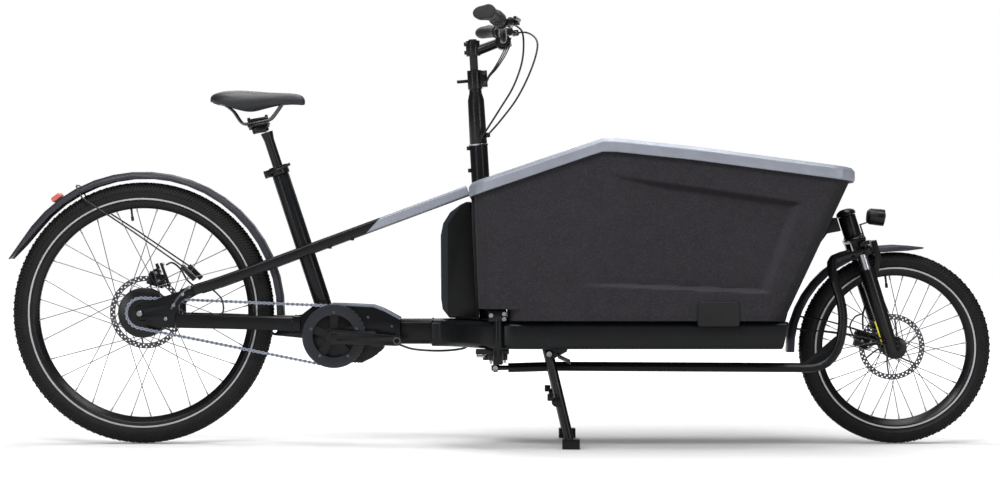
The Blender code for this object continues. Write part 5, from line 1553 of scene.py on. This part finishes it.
# %% Dropout link and bosses
joint_parts = [pipe("arm", smooth_path([(-0.828, -0.0905, 0.423), (-0.845, -0.0915, 0.408),
                                        (-0.862, -0.0915, 0.388),
                                        (-0.876, -0.0905, 0.364)], 6), 0.0042, None, 6)]
place(joined("dropout_link", *joint_parts), "frame", "dark_steel")
link_bolts = [move((x, -0.0955, z)) @ FACE_RIGHT
              for x, z in ((-0.845, 0.403), (-0.869, 0.374), (-0.827, 0.422), (-0.89, 0.338))]
copies("dropout_bolts", bolt(radius=0.0048, height=0.0024), link_bolts, "bright_steel", "frame")
bosses = [move((x, -0.042, z)) for x, z in ((-0.456, 0.5272), (-0.396, 0.5493))]
copies("cable_bosses", bolt(radius=0.005, height=0.003),
       [m @ Matrix.Rotation(math.pi, 4, "X") for m in bosses], "black_anodised", "frame")


# %% [markdown]
# ## Stand
# The stand has two legs on one pivot, a spring that keeps it up or down, and catches on its legs.
# The spring is a helix: a point that goes round as it goes along.

# %% Stand, spring and catches
SPRING_TURNS, SPRING_RADIUS, STEPS_A_TURN = 12, 0.0055, 18
from_cad("kickstand", None, 0.0055, 4)
PIVOT = Vector(JOINTS["kickstand_fold"]["pos_m"])
coil = []
for index in range(SPRING_TURNS * STEPS_A_TURN + 1):
    share = index / (SPRING_TURNS * STEPS_A_TURN)
    angle = 2 * math.pi * SPRING_TURNS * share
    coil.append(Vector((0.15 + 0.034 * share, -0.23 + SPRING_RADIUS * math.cos(angle),
                        0.245 + SPRING_RADIUS * math.sin(angle) - 0.016 * share)))
place(pipe("stand_spring", coil, 0.0011, None, 2), "frame", "dark_steel")
stand_pivots = [move((PIVOT.x, side * 0.245, PIVOT.z)) @ facing_out(side)
                for side in (RIGHT, LEFT)]
copies("stand_pivot_bolts", bolt(radius=0.0075, height=0.004), stand_pivots, "bright_steel", "frame")
for side, label in SIDES:
    extras = [rod("ring", (0.148, side * 0.215 - 0.004, 0.124), (0.148, side * 0.215 + 0.004, 0.124), 0.013,
                  sides=28),
              block("stop", (0.124, side * 0.215 - 0.009, 0.127), (0.14, side * 0.215 + 0.009, 0.145),
                    0.002)]
    place(joined("stand_catch_" + label, *extras), "kickstand", "satin_black")


# %% [markdown]
# ## Stage
# The floor is pale paper. It glows a little more with distance, so that it fades into the white
# background with no horizon, while the soft shadows near the bicycle stay.

# %% Floor
floor_mesh = bpy.data.meshes.new("floor")
floor_mesh.from_pydata([(-30, -30, 0), (30, -30, 0), (30, 30, 0), (-30, 30, 0)], [], [(0, 1, 2, 3)])
floor = link("floor", floor_mesh)
floor.location.z = -0.0005
paper = finish("studio_floor", "#d9d9d9", "#dedede", 0.95, 0.0, 3.0, 0.01, 0.0, None, 0.0)
flat = paper.node_tree
glow = flat.nodes["Principled BSDF"].inputs
glow["Emission Color"].default_value = (1, 1, 1, 1)
far = add_node(flat, "ShaderNodeVectorMath", {0: add_node(flat, "ShaderNodeTexCoord").outputs["Object"]},
               operation="LENGTH")
flat.links.new(spread(flat, far.outputs["Value"], 0.06, 1.0, 1.9, 5.0),
               glow["Emission Strength"])
floor.data.materials.append(paper)
floor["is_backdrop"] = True


# %% [markdown]
# The camera sees a white world, but the world lights the scene only faintly. Otherwise white from
# all round would wash out the blacks.

# %% World
world = bpy.data.worlds.new("studio")
world.use_nodes = True
sky = world.node_tree
ray = add_node(sky, "ShaderNodeLightPath")
strength = spread(sky, ray.outputs["Is Camera Ray"], 0.16, 1.0, 0.0, 1.0)
sky.nodes["Background"].inputs["Color"].default_value = (1, 1, 1, 1)
sky.links.new(strength, sky.nodes["Background"].inputs["Strength"])
bpy.context.scene.world = world


# %% [markdown]
# ## Lights and camera
# A key from the front left, a wide soft light above, a light behind and two upright strips that
# draw long highlights on the tubes. The camera is level at the height of the box and far away, so
# the side view stays nearly free of perspective.

# %% Lights
def area_light(name, at, aim, size, watts):
    lamp_data = bpy.data.lights.new(name, "AREA")
    lamp_data.shape = "RECTANGLE"
    lamp_data.size, lamp_data.size_y = size
    lamp_data.energy = watts
    lamp_object = link(name, lamp_data)
    lamp_object.location = at
    lamp_object.rotation_euler = (Vector(aim) - Vector(at)).to_track_quat("-Z", "Y").to_euler()


area_light("key", (-1.2, -3.4, 3.8), (0, 0, 0.4), (3.6, 0.7), 150)
area_light("top", (0.3, 0.2, 4.2), (0, 0, 0.3), (5.5, 1.8), 250)
area_light("strip_right", (4.2, -4.6, 1.6), (0.2, 0, 0.6), (0.5, 2.6), 60)
area_light("strip_left", (-4.0, -4.8, 1.4), (-0.4, 0, 0.5), (0.5, 2.4), 45)
area_light("back", (0.5, 4.5, 2.8), (0, 0, 0.6), (5.0, 1.5), 70)

# %% Camera
camera_data = bpy.data.cameras.new("camera")
camera_data.lens = 96.1
camera_data.sensor_width = 36
camera_data.shift_y = 0.0015
camera_data.clip_end = 200
camera = link("camera", camera_data)
camera.location = (0, -7.2, 0.5477)
camera.rotation_euler = (math.pi / 2, 0, 0)
bpy.context.scene.camera = camera
bpy.context.scene.view_settings.view_transform = "Standard"


# %% [markdown]
# ## Sizes and the end
# The finished model has to fill the same box as the CAD, so its box is measured and printed.

# %% Sizes and the end
low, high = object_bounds()
print("visual box", [round(v, 3) for v in (*low, *high)])
